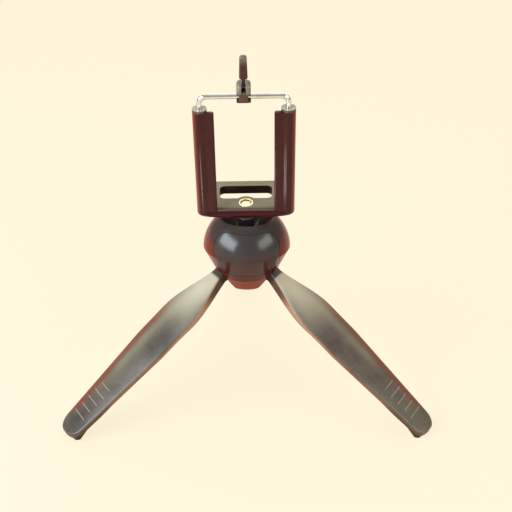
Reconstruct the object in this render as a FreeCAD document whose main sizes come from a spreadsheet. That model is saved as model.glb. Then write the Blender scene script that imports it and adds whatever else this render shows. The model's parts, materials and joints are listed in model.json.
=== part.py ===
import FreeCAD, Part
import math
import os
import re
import Sketcher

# Mini table tripod: a ball housing on three fold-down legs carries a fold-flat sprung holder.
# Millimetres, +Z up, floor at z = 0, the holder's back faces -Y, origin under the middle of the feet.
# The ball pieces are drawn round the ball's centre, the holder pieces along the leaning stud,
# and each leg from its hinge pin outwards, before their placements put them on the stand.

SIZES = {
    # Where the ball stands and how the parts lean
    "ball_axis_y": 0.0,
    "holder_lean": 10.5,
    "holder_side_lean": 0.7,
    # Upper shell: a sphere above the crease, a cone below it, a dish round the throat
    "shell_radius": 26.0,
    "shell_wall": 2.4,
    "crease_height": 1.5,
    "cone_angle": 26.5,
    "seam_depth": 9.85,
    "opening_radius": 16.0,
    "throat_radius": 7.6,
    "throat_height": 8.4,
    "dish_wall": 1.5,
    "collar_wall": 2.6,
    # Lower shell and its cap
    "band_depth": 14.75,
    "carrier_depth": 16.4,
    "carrier_gap": 0.4,
    "well_radius": 7.1,
    "well_wall": 1.4,
    "well_floor": 1.2,
    "cap_depth": 23.2,
    "cap_wall": 1.6,
    "cap_inset": 0.25,
    "cap_rounding": 3.5,
    # Screws that hold the shells together
    "boss_distance": 13.4,
    "boss_radius": 2.1,
    "boss_top": 13.5,
    "screw_radius": 1.0,
    "screw_top": 1.0,
    "screw_head_radius": 1.7,
    "screw_head_height": 1.4,
    "screw_head_depth": 13.2,
    "fit": 0.05,
    # Front button, its wedge and the brake under the ball
    "button_half_width": 19.3,
    "button_top": 17.0,
    "button_bottom": 12.0,
    "button_corner": 10.0,
    "button_gap": 0.2,
    "button_wall": 1.6,
    "button_depth": 8.0,
    "button_travel": 1.8,
    "wedge_half_width": 2.6,
    "wedge_tip": 13.0,
    "wedge_top": 3.8,
    "wedge_slope": 0.25,
    "seat_top": 3.6,
    "seat_bottom": 7.2,
    "seat_radius": 10.8,
    "shoe_thickness": 2.0,
    "shoe_tab_reach": 15.5,
    "skirt_radius": 7.0,
    "skirt_wall": 1.8,
    "skirt_depth": 13.5,
    "brake_spring_wire": 0.9,
    # Ball stud, flange and camera screw along the leaning axis
    "ball_radius": 10.0,
    "stem_radius": 3.5,
    "flange_bottom": 23.3,
    "flange_low_radius": 7.4,
    "flange_radius": 8.5,
    "flange_cone_top": 24.9,
    "flange_top": 26.0,
    "pad_thickness": 0.35,
    "pad_radius": 8.3,
    "camera_screw_radius": 3.1,
    "camera_screw_start": 15.0,
    "camera_screw_end": 31.0,
    # Base plate of the holder
    "plate_bottom": 26.4,
    "plate_thickness": 5.4,
    "plate_half_width": 19.65,
    "plate_back": 22.5,
    "plate_corner": 3.0,
    "hinge_setback": 3.9,
    "nose_half_width": 17.4,
    "slot_front": 4.35,
    "slot_back": 17.3,
    "slot_half_width": 15.5,
    "slot_corner": 3.2,
    "insert_boss_radius": 6.3,
    "insert_radius": 4.4,
    "hinge_pin_radius": 1.2,
    "hinge_pin_inner": 13.0,
    "hinge_pin_outer": 23.0,
    # Upright frame: two tubes, their webs and the bar at the foot
    "tube_radius": 4.0,
    "tube_distance": 24.0,
    "tube_setback": 6.0,
    "tube_bottom": 28.7,
    "tube_top": 95.9,
    "tube_bore": 2.8,
    "bore_start": 38.0,
    "web_inner": 16.3,
    "web_back": 6.9,
    "web_front": 9.3,
    "bar_bottom": 27.4,
    "bar_top": 32.0,
    "bar_belly": 10.2,
    "tube_cap_height": 1.4,
    "bushing_length": 4.0,
    # Chrome wire, its stop washers and the springs round it
    "wire_radius": 1.5,
    "crossbar_rise": 8.5,
    "wire_bend": 4.0,
    "wire_bottom": 40.0,
    "washer_radius": 2.6,
    "washer_thickness": 1.0,
    # Clip block on the crossbar and the jaw hinged in it
    "clip_width": 7.7,
    "clip_front": 9.4,
    "clip_back": 2.6,
    "clip_drop": 2.7,
    "clip_shoulder_rise": 3.8,
    "jaw_pin_rise": 5.6,
    "jaw_pin_setback": 4.5,
    "jaw_pin_radius": 0.9,
    "ear_radius": 3.0,
    "clip_slot_width": 2.6,
    "clip_slot_rise": 2.2,
    "notch_depth": 1.3,
    "notch_half_height": 1.8,
    "jaw_neck_width": 2.3,
    "jaw_width": 4.65,
    "jaw_shoulder_rise": 4.2,
    "jaw_length": 18.0,
    "jaw_thickness": 2.6,
    "jaw_curl": 2.6,
    "clip_rounding": 0.7,
    "jaw_rounding": 0.8,
    # Legs, from the hinge pin: a crowned paddle with a turned-down skirt
    "leg_pin_distance": 12.6,
    "leg_pin_depth": 13.4,
    "leg_pin_radius": 1.25,
    "leg_pin_length": 16.0,
    "leg_splay": 53.0,
    "leg_face_height": 5.63,
    "leg_root": 4.15,
    "leg_length": 134.7,
    "root_half_width": 3.6,
    "paddle_half_width": 15.6,
    "flare_start": -2.0,
    "flare_length": 44.0,
    "taper_start": 64.0,
    "foot_half_width": 9.9,
    "leg_crown_radius": 50.0,
    "leg_station_spacing": 7.0,
    "skirt_root": 5.0,
    "skirt_foot": 2.6,
    "leg_wall": 1.9,
    "leg_end_corner": 8.0,
    "leg_end_block": 19.0,
    "knuckle_radius": 3.5,
    "knuckle_width": 8.4,
    "slot_clearance": 0.3,
    "slot_flare": 3.1,
    "slot_flare_start": 15.4,
    "rib_width": 1.2,
    "rib_spacing": 15.0,
    "tick_spacing": 5.5,
    "tick_half_length": 5.8,
    "tick_width": 0.7,
    "tick_depth": 0.35,
    "tick_reach": 35.5,
    # Rubber foot pad under the end of each leg
    "foot_length": 16.7,
    "foot_end_gap": 1.0,
    "foot_lowest_setback": 2.7,
    "foot_drop": 5.2,
    "foot_flat": 0.83,
    "foot_half": 7.2,
    "foot_rounding": 1.8,
}

# Sizes that follow from those above
FOLLOWING = {
    "ball_height": "leg_pin_depth + foot_lowest * cos(leg_splay)"
                   " + (foot_drop - leg_face_height + skirt_foot) * sin(leg_splay) - foot_flat",
    "crossbar_height": "tube_top + crossbar_rise",
    "clip_bottom": "crossbar_height - clip_drop",
    "clip_shoulder": "crossbar_height + clip_shoulder_rise",
    "clip_slot_bottom": "crossbar_height + clip_slot_rise",
    "notch_bottom": "crossbar_height - notch_half_height",
    "notch_top": "crossbar_height + notch_half_height",
    "jaw_pin_height": "crossbar_height + jaw_pin_rise",
    "jaw_shoulder": "jaw_pin_height + jaw_shoulder_rise",
    "jaw_top": "jaw_pin_height + jaw_length",
    "tick_first": "leg_length - tick_reach",
    "foot_start": "leg_length - foot_length",
    "foot_lowest": "leg_length - foot_lowest_setback",
}

LEGS = {"left": 210.0, "right": 330.0, "rear": 90.0}
SCREW_AZIMUTHS = (30.0, 150.0)

V = FreeCAD.Vector
doc = FreeCAD.newDocument("MiniTripod")
sheet = doc.addObject("Spreadsheet::Sheet", "Sizes")
cells = {}
rows = dict(SIZES, **{alias: "=" + text for alias, text in FOLLOWING.items()})
for row, (alias, value) in enumerate(rows.items(), start=1):
    cells[alias] = "B%d" % row
    sheet.set("A%d" % row, alias)
    sheet.set(cells[alias], str(value))
    sheet.setAlias(cells[alias], alias)
gauge = doc.addObject("App::FeaturePython", "Gauge")
gauge.addProperty("App::PropertyFloat", "reading")
doc.recompute()
pieces = {}


def on_sheet(text):
    """Writes the sheet's name before each size that an expression names."""
    return re.sub(r"[a-z_]+", lambda word: "Sizes." + word[0] if word[0] in cells else word[0], text)


def reading(text):
    """The present value of an expression."""
    gauge.setExpression("reading", on_sheet(text))
    gauge.recompute()
    return gauge.reading


def bind(item, **sizes):
    """Binds properties of an object to expressions; two underscores stand for a dot."""
    for name, text in sizes.items():
        item.setExpression(name.replace("__", "."), on_sheet(text))
    return item


def moved(item, spot=("0", "0", "0"), turn=None):
    """Turns an object and binds its base point."""
    item.Placement = FreeCAD.Placement(V(), turn or FreeCAD.Rotation())
    return bind(item, Placement__Base__x=spot[0], Placement__Base__y=spot[1], Placement__Base__z=spot[2])


AXIS_TURNS = {
    "x": FreeCAD.Rotation(V(0, 1, 0), 90),
    "y": FreeCAD.Rotation(V(1, 0, 0), -90),
    "z": FreeCAD.Rotation(),
}


def rod(name, along, radius, spot, length):
    """A cylinder from one point along an axis."""
    item = bind(doc.addObject("Part::Cylinder", name), Radius=radius, Height=length)
    return moved(item, spot, AXIS_TURNS[along])


def sphere(name, radius, spot=("0", "0", "0")):
    return moved(bind(doc.addObject("Part::Sphere", name), Radius=radius), spot)


def block(name, x, y, z):
    """A box between two values along each axis."""
    item = doc.addObject("Part::Box", name)
    bind(item, Length="%s - (%s)" % (x[1], x[0]), Width="%s - (%s)" % (y[1], y[0]))
    bind(item, Height="%s - (%s)" % (z[1], z[0]))
    return moved(item, (x[0], y[0], z[0]))


def joined(name, *items):
    item = doc.addObject("Part::MultiFuse", name)
    item.Shapes = items
    return item


def grouped(name, *items):
    """Solids kept apart in one object."""
    item = doc.addObject("Part::Compound", name)
    item.Links = items
    return item


def common(name, *items):
    item = doc.addObject("Part::MultiCommon", name)
    item.Shapes = items
    return item


def less(name, base, *tools):
    """One object with others cut away."""
    item = doc.addObject("Part::Cut", name)
    item.Base = base
    item.Tool = tools[0] if len(tools) == 1 else joined(name + "_tools", *tools)
    return item


def tie(sketch, name, text, kind, *where):
    """A named dimension of a sketch, bound to an expression."""
    number = sketch.addConstraint(Sketcher.Constraint(kind, *where, reading(text)))
    sketch.renameConstraint(number, name)
    sketch.setExpression("Constraints." + name, on_sheet(text))


def outline(body, plane, corners, arcs=None, offset="0"):
    """A closed sketch of lines through its corners; an arc round the sketch's origin, of the
    radius given for that corner in arcs, takes the place of the line that leaves it."""
    arcs = arcs or {}
    sketch = body.newObject("Sketcher::SketchObject", body.Name + "_outline")
    base_plane = next(item for item in body.Origin.OriginFeatures if item.Role == plane)
    sketch.AttachmentSupport = [(base_plane, "")]
    sketch.MapMode = "FlatFace"
    bind(sketch, AttachmentOffset__Base__z=offset)
    spots = [V(reading(across), reading(up), 0) for across, up in corners]
    count = len(spots)
    ends = []
    for i, spot in enumerate(spots):
        after = spots[(i + 1) % count]
        ends.append((1, 2))
        if i in arcs:
            angles = [math.atan2(point.y, point.x) for point in (spot, after)]
            circle = Part.Circle(V(), V(0, 0, 1), reading(arcs[i]))
            sketch.addGeometry(Part.ArcOfCircle(circle, min(angles), max(angles)), False)
            if angles[0] > angles[1]:
                ends[i] = (2, 1)
        else:
            sketch.addGeometry(Part.LineSegment(spot, after), False)
    for i in range(count):
        after = (i + 1) % count
        sketch.addConstraint(Sketcher.Constraint("Coincident", i, ends[i][1], after, ends[after][0]))
        if i in arcs:
            sketch.addConstraint(Sketcher.Constraint("Coincident", i, 3, -1, 1))
            tie(sketch, "radius%d" % i, arcs[i], "Radius", i)
    for i, (across, up) in enumerate(corners):
        start = ends[i][0]
        beside_arc = i in arcs or (i - 1) % count in arcs
        if across == "0":
            sketch.addConstraint(Sketcher.Constraint("PointOnObject", i, start, -2))
        elif not beside_arc:
            tie(sketch, "across%d" % i, across, "DistanceX", -1, 1, i, start)
        if up == "0":
            sketch.addConstraint(Sketcher.Constraint("PointOnObject", i, start, -1))
        else:
            tie(sketch, "up%d" % i, up, "DistanceY", -1, 1, i, start)
    return sketch


def revolved(name, corners, arcs=None):
    """A body turned about the Z axis from a profile of (radius, height) corners."""
    body = doc.addObject("PartDesign::Body", name)
    sketch = outline(body, "XZ_Plane", corners, arcs)
    turn = body.newObject("PartDesign::Revolution", name + "_turn")
    turn.Profile = sketch
    turn.ReferenceAxis = (sketch, ["V_Axis"])
    turn.Angle = 360
    return body


def extruded(name, plane, corners, length, offset=None):
    """A body padded from a profile: both ways from its plane, or from an offset along the normal."""
    body = doc.addObject("PartDesign::Body", name)
    pad = body.newObject("PartDesign::Pad", name + "_pad")
    pad.Profile = outline(body, plane, corners, None, offset or "0")
    pad.Midplane = offset is None
    bind(pad, Length=length)
    return body


def rounded(body, radius, wanted):
    """Rounds the edges of a body whose middle point and direction pass a test."""
    base = body.Tip
    body.recompute(True)
    names = []
    for number, edge in enumerate(base.Shape.Edges, start=1):
        middle = edge.valueAt((edge.FirstParameter + edge.LastParameter) / 2)
        if wanted(middle, edge):
            names.append("Edge%d" % number)
    fillet = body.newObject("PartDesign::Fillet", body.Name + "_round%d" % len(body.Group))
    fillet.Base = (base, names)
    bind(fillet, Radius=radius)
    return body


def straight_along(edge, axis):
    """Whether an edge is a straight line along one axis."""
    if edge.Curve.TypeId != "Part::GeomLine":
        return False
    return abs(edge.tangentAt(edge.FirstParameter).dot(axis)) > 0.999


def piece(node, item, spot=None, turn=None):
    """Names a finished sub-part and puts it on the stand."""
    item.Label = node
    pieces[node] = moved(item, spot or ("0", "ball_axis_y", "ball_height"), turn)
    return item


def leaning():
    """The turn of the holder: up its own stud, toward -Y and a little toward -X."""
    side = math.sin(math.radians(reading("holder_side_lean")))
    back = math.sin(math.radians(reading("holder_lean")))
    up = V(-side, -back, math.sqrt(1 - side ** 2 - back ** 2))
    return FreeCAD.Rotation(V(1, 0, 0), V(0, 1, 0), up, "ZXY")


LEAN = leaning()

# Radii of the housing that several pieces share
CREASE_RADIUS = "sqrt(shell_radius ^ 2 - crease_height ^ 2)"
RIM_HEIGHT = "sqrt(shell_radius ^ 2 - opening_radius ^ 2)"
SOCKET_RADIUS = "(ball_radius + fit)"


def cone_radius(depth):
    """Outer radius of the housing's cone at a depth below the ball's centre."""
    return "(%s - (crease_height + %s) * tan(cone_angle))" % (CREASE_RADIUS, depth)


SEAM_RADIUS = cone_radius("seam_depth")
BAND_RADIUS = cone_radius("band_depth")


def housing_wall(name, wall, top):
    """The round wall of the upper shell, of one thickness, up to a height."""
    inner = "(shell_radius - %s)" % wall
    corners = [
        (CREASE_RADIUS, "crease_height"),
        ("sqrt(shell_radius ^ 2 - (%s) ^ 2)" % top, top),
        ("sqrt(%s ^ 2 - (%s) ^ 2)" % (inner, top), top),
        ("sqrt(%s ^ 2 - crease_height ^ 2)" % inner, "crease_height"),
        ("%s - %s / cos(cone_angle)" % (SEAM_RADIUS, wall), "-seam_depth"),
        (SEAM_RADIUS, "-seam_depth"),
    ]
    return revolved(name, corners, {0: "shell_radius", 2: inner})


def button_prism(name, gap, front, depth):
    """The button's rounded square, drawn on the XZ plane and running along Y."""
    half = "(button_half_width - %s)" % gap
    top = "(button_top - %s)" % gap
    bottom = "(-button_bottom + %s)" % gap
    corners = [("-" + half, bottom), (half, bottom), (half, top), ("-" + half, top)]
    body = extruded(name, "XZ_Plane", corners, "%s - %s" % (front, depth), depth)
    return rounded(body, "button_corner - %s" % gap, lambda spot, edge: straight_along(edge, V(0, 1, 0)))


def leg_slots(prefix):
    """Three slots that let a leg's knuckle in and its root fold down, open below and outside."""
    slots = []
    for side, azimuth in LEGS.items():
        half = "(knuckle_width / 2 + slot_clearance)"
        wide = "(%s + slot_flare)" % half
        corners = [
            ("-" + half, "-seam_depth + 1"), ("-" + half, "-slot_flare_start"),
            ("-" + wide, "-cap_depth - 0.2"), (wide, "-cap_depth - 0.2"),
            (half, "-slot_flare_start"), (half, "-seam_depth + 1"),
        ]
        inner = "leg_pin_distance - knuckle_radius - slot_clearance"
        slot = extruded(prefix + side, "YZ_Plane", corners, "shell_radius", inner)
        slot.Placement = FreeCAD.Placement(V(), FreeCAD.Rotation(azimuth, 0, 0))
        slots.append(slot)
    return slots


def around(item, azimuth):
    """Turns a tool about the ball's vertical axis, with its base point already bound."""
    holder = grouped(item.Name + "_turned", item)
    holder.Placement = FreeCAD.Placement(V(), FreeCAD.Rotation(azimuth, 0, 0))
    return holder


def screw_rods(prefix, radius, bottom, top):
    """Upright cylinders at the housing screws, from a depth below the ball's centre up."""
    rods = []
    for number, azimuth in enumerate(SCREW_AZIMUTHS, start=1):
        spot = ("boss_distance * cos(%g)" % azimuth, "boss_distance * sin(%g)" % azimuth, "-" + bottom)
        rods.append(rod(prefix + str(number), "z", radius, spot, "%s + %s" % (top, bottom)))
    return rods


def upper_shell():
    """Sphere and cone outside, a dish down to the throat, and the collar that holds the ball."""
    rise = "((opening_radius - throat_radius) / (%s - throat_height))" % RIM_HEIGHT
    under = "(throat_radius + dish_wall * sqrt(1 + %s ^ 2) - %s * throat_height)" % (rise, rise)
    inner = "(shell_radius - shell_wall)"
    meet = "((sqrt(%s ^ 2 * (1 + %s ^ 2) - %s ^ 2) - %s * %s) / (1 + %s ^ 2))" % (
        inner, rise, under, under, rise, rise)
    collar = "(%s + collar_wall)" % SOCKET_RADIUS
    corners = [
        (CREASE_RADIUS, "crease_height"),
        ("opening_radius", RIM_HEIGHT),
        ("throat_radius", "throat_height"),
        ("throat_radius", "sqrt(%s ^ 2 - throat_radius ^ 2)" % SOCKET_RADIUS),
        (SOCKET_RADIUS, "0"),
        (collar, "0"),
        (collar, "(%s - %s) / %s" % (collar, under, rise)),
        ("%s + %s * %s" % (under, rise, meet), meet),
        ("sqrt(%s ^ 2 - crease_height ^ 2)" % inner, "crease_height"),
        ("%s - shell_wall / cos(cone_angle)" % SEAM_RADIUS, "-seam_depth"),
        (SEAM_RADIUS, "-seam_depth"),
    ]
    shell = revolved("upper_form", corners, {0: "shell_radius", 3: SOCKET_RADIUS, 7: inner})
    dome = less("dome_room", sphere("dome_sphere", inner),
                block("below_crease", ("-shell_radius", "shell_radius"), ("-shell_radius", "shell_radius"),
                      ("-shell_radius", "crease_height")))
    collar_room = rod("collar_room", "z", collar, ("0", "0", "-seam_depth"), "seam_depth + crease_height")
    depth = "(button_depth - button_travel - 0.4)"
    window = less("button_window", button_prism("window_prism", "0", "shell_radius + 2", depth),
                  dome, collar_room)
    bosses = screw_rods("boss", "boss_radius", "seam_depth", "boss_top")
    holes = screw_rods("boss_hole", "screw_radius + fit", "seam_depth", "screw_top + 0.5")
    return less("upper_shell", joined("upper_bosses", less("upper_windowed", shell, window), *bosses), *holes)


def push_button():
    """The front panel of the housing, with the wedge that drives the brake shoe down."""
    panel = common("button_panel", housing_wall("button_wall_form", "button_wall", "button_top + 1"),
                   button_prism("button_prism_small", "button_gap", "shell_radius + 2", "button_depth"),
                   block("above_seam", ("-shell_radius", "shell_radius"), ("-shell_radius", "0"),
                         ("-seam_depth + button_gap", "shell_radius")))
    root = "(%s - button_wall / cos(cone_angle))" % SEAM_RADIUS
    tip_height = "-(seat_bottom - 0.1)"
    corners = [
        ("-" + root, "-wedge_top"),
        ("-wedge_tip - 0.4", "-wedge_top"),
        ("-wedge_tip", tip_height),
        ("-" + root, "%s - wedge_slope * (%s - wedge_tip)" % (tip_height, root)),
    ]
    wedge = extruded("button_wedge", "YZ_Plane", corners, "2 * wedge_half_width")
    arm = block("button_arm", ("-wedge_half_width", "wedge_half_width"),
                ("-(%s + 2.4)" % root, "-%s + 0.5" % root), ("-seat_bottom", "-wedge_top"))
    return joined("push_button_form", panel, wedge, arm)


def lower_shell():
    """The band under the seam, the carrier of the leg pins and the well of the brake spring."""
    carrier = "(%s - cap_inset - cap_wall - carrier_gap)" % BAND_RADIUS
    carrier_low = "(%s - (carrier_depth - band_depth) * tan(cone_angle))" % carrier
    well = "(well_radius + well_wall)"
    floor_depth = "(cap_depth - cap_wall)"
    corners = [
        ("well_radius", "-seam_depth"),
        (SEAM_RADIUS, "-seam_depth"),
        (BAND_RADIUS, "-band_depth"),
        (carrier, "-band_depth"),
        (carrier_low, "-carrier_depth"),
        (well, "-carrier_depth"),
        (well, "-" + floor_depth),
        ("0", "-" + floor_depth),
        ("0", "-%s + well_floor" % floor_depth),
        ("well_radius", "-%s + well_floor" % floor_depth),
    ]
    form = revolved("lower_form", corners)
    holes = screw_rods("band_hole", "screw_radius + fit", "carrier_depth", "0")
    recesses = screw_rods("head_recess", "screw_head_radius + fit", "carrier_depth", "-screw_head_depth")
    pins = []
    for side, azimuth in LEGS.items():
        hole = rod("pin_hole_" + side, "y", "leg_pin_radius + fit",
                   ("leg_pin_distance", "-leg_pin_length / 2 - fit", "-leg_pin_depth"),
                   "leg_pin_length + 2 * fit")
        pins.append(around(hole, azimuth))
    return less("lower_shell", form, *leg_slots("carrier_slot_"), *holes, *recesses, *pins)


def bottom_cap():
    """The thin cup that closes the housing below, slotted for the legs."""
    top = "(%s - cap_inset)" % BAND_RADIUS
    bottom = "(%s - (cap_depth - band_depth) * tan(cone_angle))" % top
    inside = "(%s - cap_wall / cos(cone_angle))" % top
    inside_low = "(%s - (cap_depth - cap_wall - band_depth) * tan(cone_angle))" % inside
    corners = [
        ("0", "-cap_depth"), (bottom, "-cap_depth"), (top, "-band_depth"), (inside, "-band_depth"),
        (inside_low, "-cap_depth + cap_wall"), ("0", "-cap_depth + cap_wall"),
    ]
    cup = revolved("cap_form", corners)
    low = -reading("cap_depth")
    rounded(cup, "cap_rounding", lambda spot, edge: abs(spot.z - low) < 0.01 and edge.Length > 40)
    return less("cap_shell", cup, *leg_slots("cap_slot_"))


def housing_screws():
    """Two screws from below, between the legs, up into the bosses."""
    screws = []
    shanks = screw_rods("shank", "screw_radius", "screw_head_depth", "screw_top")
    heads = screw_rods("head", "screw_head_radius", "(screw_head_depth + screw_head_height)",
                       "-screw_head_depth")
    for shank, head in zip(shanks, heads):
        screws.append(joined(shank.Name + "_screw", shank, head))
    return grouped("screws", *screws)


def seat_ring():
    """The slippery ring under the ball; it turns with the ball on the shoe."""
    corners = [
        ("sqrt(%s ^ 2 - seat_bottom ^ 2)" % SOCKET_RADIUS, "-seat_bottom"),
        ("seat_radius", "-seat_bottom"), ("seat_radius", "-seat_top"),
        ("sqrt(%s ^ 2 - seat_top ^ 2)" % SOCKET_RADIUS, "-seat_top"),
    ]
    return revolved("seat_form", corners, {3: SOCKET_RADIUS})


def brake_shoe():
    """A flanged plunger that presses the ball up, with the tab that the wedge pushes down."""
    top = "(-seat_bottom - 0.02)"
    bottom = "(%s - shoe_thickness)" % top
    corners = [
        ("skirt_radius - skirt_wall", top), ("seat_radius", top), ("seat_radius", bottom),
        ("skirt_radius", bottom), ("skirt_radius", "-skirt_depth"),
        ("skirt_radius - skirt_wall", "-skirt_depth"),
    ]
    plunger = less("shoe_hollow", revolved("shoe_form", corners), sphere("shoe_relief", "ball_radius + 0.3"))
    tip = "-(seat_bottom - 0.1) - fit"
    inner = "(seat_radius + 0.2)"
    tab = [
        ("-(seat_radius - 2)", bottom), ("-shoe_tab_reach", bottom),
        ("-shoe_tab_reach", "%s - wedge_slope * (shoe_tab_reach - wedge_tip)" % tip),
        ("-" + inner, "%s - wedge_slope * (%s - wedge_tip)" % (tip, inner)),
        ("-" + inner, top), ("-(seat_radius - 2)", top),
    ]
    return joined("shoe", plunger, extruded("shoe_tab", "YZ_Plane", tab, "2 * wedge_half_width"))


def brake_spring():
    """The room that the spring's coils fill in its well under the shoe."""
    floor = "(cap_depth - cap_wall - well_floor)"
    outer = rod("spring_outside", "z", "skirt_radius", ("0", "0", "-" + floor), floor + " - skirt_depth")
    inner = rod("spring_inside", "z", "skirt_radius - 2 * brake_spring_wire", ("0", "0", "-" + floor),
                floor + " - skirt_depth")
    return less("spring_sleeve", outer, inner)


def housing():
    piece("housing_upper_shell", upper_shell())
    piece("housing_lower_shell", lower_shell())
    piece("bottom_cap", bottom_cap())
    piece("housing_screws", housing_screws())
    piece("push_button", push_button())
    piece("ball_seat_ring", seat_ring())
    piece("brake_shoe", brake_shoe())
    piece("brake_spring", brake_spring())


def ball_and_flange():
    """The ball on its stem, the flange with its pad, and the screw that holds the holder."""
    bore = "camera_screw_radius + fit"
    stem = rod("stem", "z", "stem_radius", ("0", "0", "0"), "flange_bottom")
    hole = rod("stem_bore", "z", bore, ("0", "0", "camera_screw_start"), "flange_bottom")
    collar = rod("stem_collar", "z", "stem_radius + 1.2", ("0", "0", "camera_screw_start"),
                 "flange_bottom - camera_screw_start")
    ball = joined("ball_on_stem", sphere("ball", "ball_radius"), stem, collar)
    piece("ball_stud", less("ball_bored", ball, hole), turn=LEAN)
    corners = [
        (bore, "flange_bottom"), ("flange_low_radius", "flange_bottom"),
        ("flange_radius", "flange_cone_top"), ("flange_radius", "flange_top"), (bore, "flange_top"),
    ]
    piece("stud_flange", revolved("flange_form", corners), turn=LEAN)
    pad = [
        (bore, "flange_top"), ("pad_radius", "flange_top"), ("pad_radius", "flange_top + pad_thickness"),
        (bore, "flange_top + pad_thickness"),
    ]
    piece("flange_pad", revolved("pad_form", pad), turn=LEAN)
    screw = rod("screw_form", "z", "camera_screw_radius", ("0", "0", "camera_screw_start + fit"),
                "camera_screw_end - camera_screw_start - fit")
    piece("camera_screw", grouped("screw_whole", screw), turn=LEAN)


def base_plate():
    """The plate with its round nose, wide slot and the boss round the brass insert."""
    top = "(plate_bottom + plate_thickness)"
    corners = [
        ("-plate_half_width", "-hinge_setback"), ("plate_half_width", "-hinge_setback"),
        ("plate_half_width", "plate_back"), ("-plate_half_width", "plate_back"),
    ]
    sheet_body = extruded("plate_sheet", "XY_Plane", corners, "plate_thickness", "plate_bottom")
    rounded(sheet_body, "plate_corner",
            lambda spot, edge: straight_along(edge, V(0, 0, 1)) and spot.y > 0)
    nose = rod("plate_nose", "x", "plate_thickness / 2",
               ("-nose_half_width", "-hinge_setback", "plate_bottom + plate_thickness / 2"),
               "2 * nose_half_width")
    slot = [
        ("-slot_half_width", "slot_front"), ("slot_half_width", "slot_front"),
        ("slot_half_width", "slot_back"), ("-slot_half_width", "slot_back"),
    ]
    slot_body = extruded("plate_slot", "XY_Plane", slot, "plate_thickness + 2", "plate_bottom - 1")
    rounded(slot_body, "slot_corner", lambda spot, edge: straight_along(edge, V(0, 0, 1)))
    round_boss = rod("insert_boss_round", "z", "insert_boss_radius", ("0", "0", "plate_bottom"),
                     "plate_thickness")
    boss_front = block("boss_front", ("-insert_boss_radius - 1", "insert_boss_radius + 1"),
                       ("-insert_boss_radius - 1", "0"), ("plate_bottom - 1", top + " + 1"))
    boss = less("insert_boss", round_boss, boss_front)
    hole = rod("insert_hole", "z", "insert_radius + fit", ("0", "0", "plate_bottom - 1"),
               "plate_thickness + 2")
    pin_hole = rod("plate_pin_hole", "x", "hinge_pin_radius + fit",
                   ("-plate_half_width - 1", "-hinge_setback", "plate_bottom + plate_thickness / 2"),
                   "2 * plate_half_width + 2")
    relief = [block("nose_relief_%s" % side, x, ("-hinge_setback - 3", "-hinge_setback + 2.9"),
                    ("plate_bottom - 1", top + " + 1"))
              for side, x in (("left", ("-plate_half_width - 1", "-nose_half_width")),
                              ("right", ("nose_half_width", "plate_half_width + 1")))]
    slotted = less("plate_slotted", sheet_body, slot_body)
    whole = joined("plate_whole", slotted, nose, boss)
    piece("base_plate", less("plate", whole, hole, pin_hole, *relief), turn=LEAN)
    insert = [
        ("camera_screw_radius + fit", "plate_bottom"), ("insert_radius", "plate_bottom"),
        ("insert_radius", top), ("camera_screw_radius + fit", top),
    ]
    piece("brass_insert", revolved("insert_form", insert), turn=LEAN)
    pins = [
        rod("hinge_pin_left", "x", "hinge_pin_radius",
            ("-hinge_pin_outer", "-hinge_setback", "plate_bottom + plate_thickness / 2"),
            "hinge_pin_outer - hinge_pin_inner"),
        rod("hinge_pin_right", "x", "hinge_pin_radius",
            ("hinge_pin_inner", "-hinge_setback", "plate_bottom + plate_thickness / 2"),
            "hinge_pin_outer - hinge_pin_inner"),
    ]
    piece("plate_hinge_pins", grouped("hinge_pins", *pins), turn=LEAN)


def both_sides(name, make):
    """The same form on the left and the right, mirrored about the YZ plane."""
    return [make(name + "_left", "-"), make(name + "_right", "")]


def holder_frame():
    """Two bored tubes with webs beside the window, on a bowed bar that carries the hinge."""
    tubes = both_sides("tube", lambda name, sign: rod(
        name, "z", "tube_radius", (sign + "tube_distance", "-tube_setback", "tube_bottom + tube_radius"),
        "tube_top - tube_bottom - tube_radius"))
    ends = both_sides("tube_end", lambda name, sign: sphere(
        name, "tube_radius", (sign + "tube_distance", "-tube_setback", "tube_bottom + tube_radius")))
    web_z = ("bar_bottom + 1", "tube_top")
    web_y = ("-web_front", "-web_back")
    webs = [block("web_left", ("-tube_distance", "-web_inner - 0.8"), web_y, web_z),
            block("web_right", ("web_inner + 0.8", "tube_distance"), web_y, web_z)]
    bead = "((web_front - web_back) / 2 + 0.1)"
    beads = both_sides("bead", lambda name, sign: rod(
        name, "z", bead, ("%s(web_inner + %s)" % (sign, bead), "-(web_front + web_back) / 2", web_z[0]),
        "tube_top - bar_bottom - 1"))
    bar = extruded("foot_bar", "YZ_Plane", [
        ("-web_back", "bar_bottom + 0.6"), ("-web_back", "bar_top"), ("-web_front", "bar_top"),
        ("-bar_belly", "(bar_bottom + bar_top) / 2"), ("-web_front + 0.3", "bar_bottom"),
        ("-web_back - 0.6", "bar_bottom")], "2 * tube_distance + 2")
    form = joined("frame_form", *tubes, *ends, *webs, *beads, bar)
    bores = both_sides("tube_bore", lambda name, sign: rod(
        name, "z", "tube_bore", (sign + "tube_distance", "-tube_setback", "bore_start"),
        "tube_top - bore_start + 1"))
    pin_hole = rod("frame_pin_hole", "x", "hinge_pin_radius + fit",
                   ("-hinge_pin_outer - fit", "-hinge_setback", "plate_bottom + plate_thickness / 2"),
                   "2 * hinge_pin_outer + 2 * fit")
    piece("holder_frame", less("frame", form, *bores, pin_hole), turn=LEAN)


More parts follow.
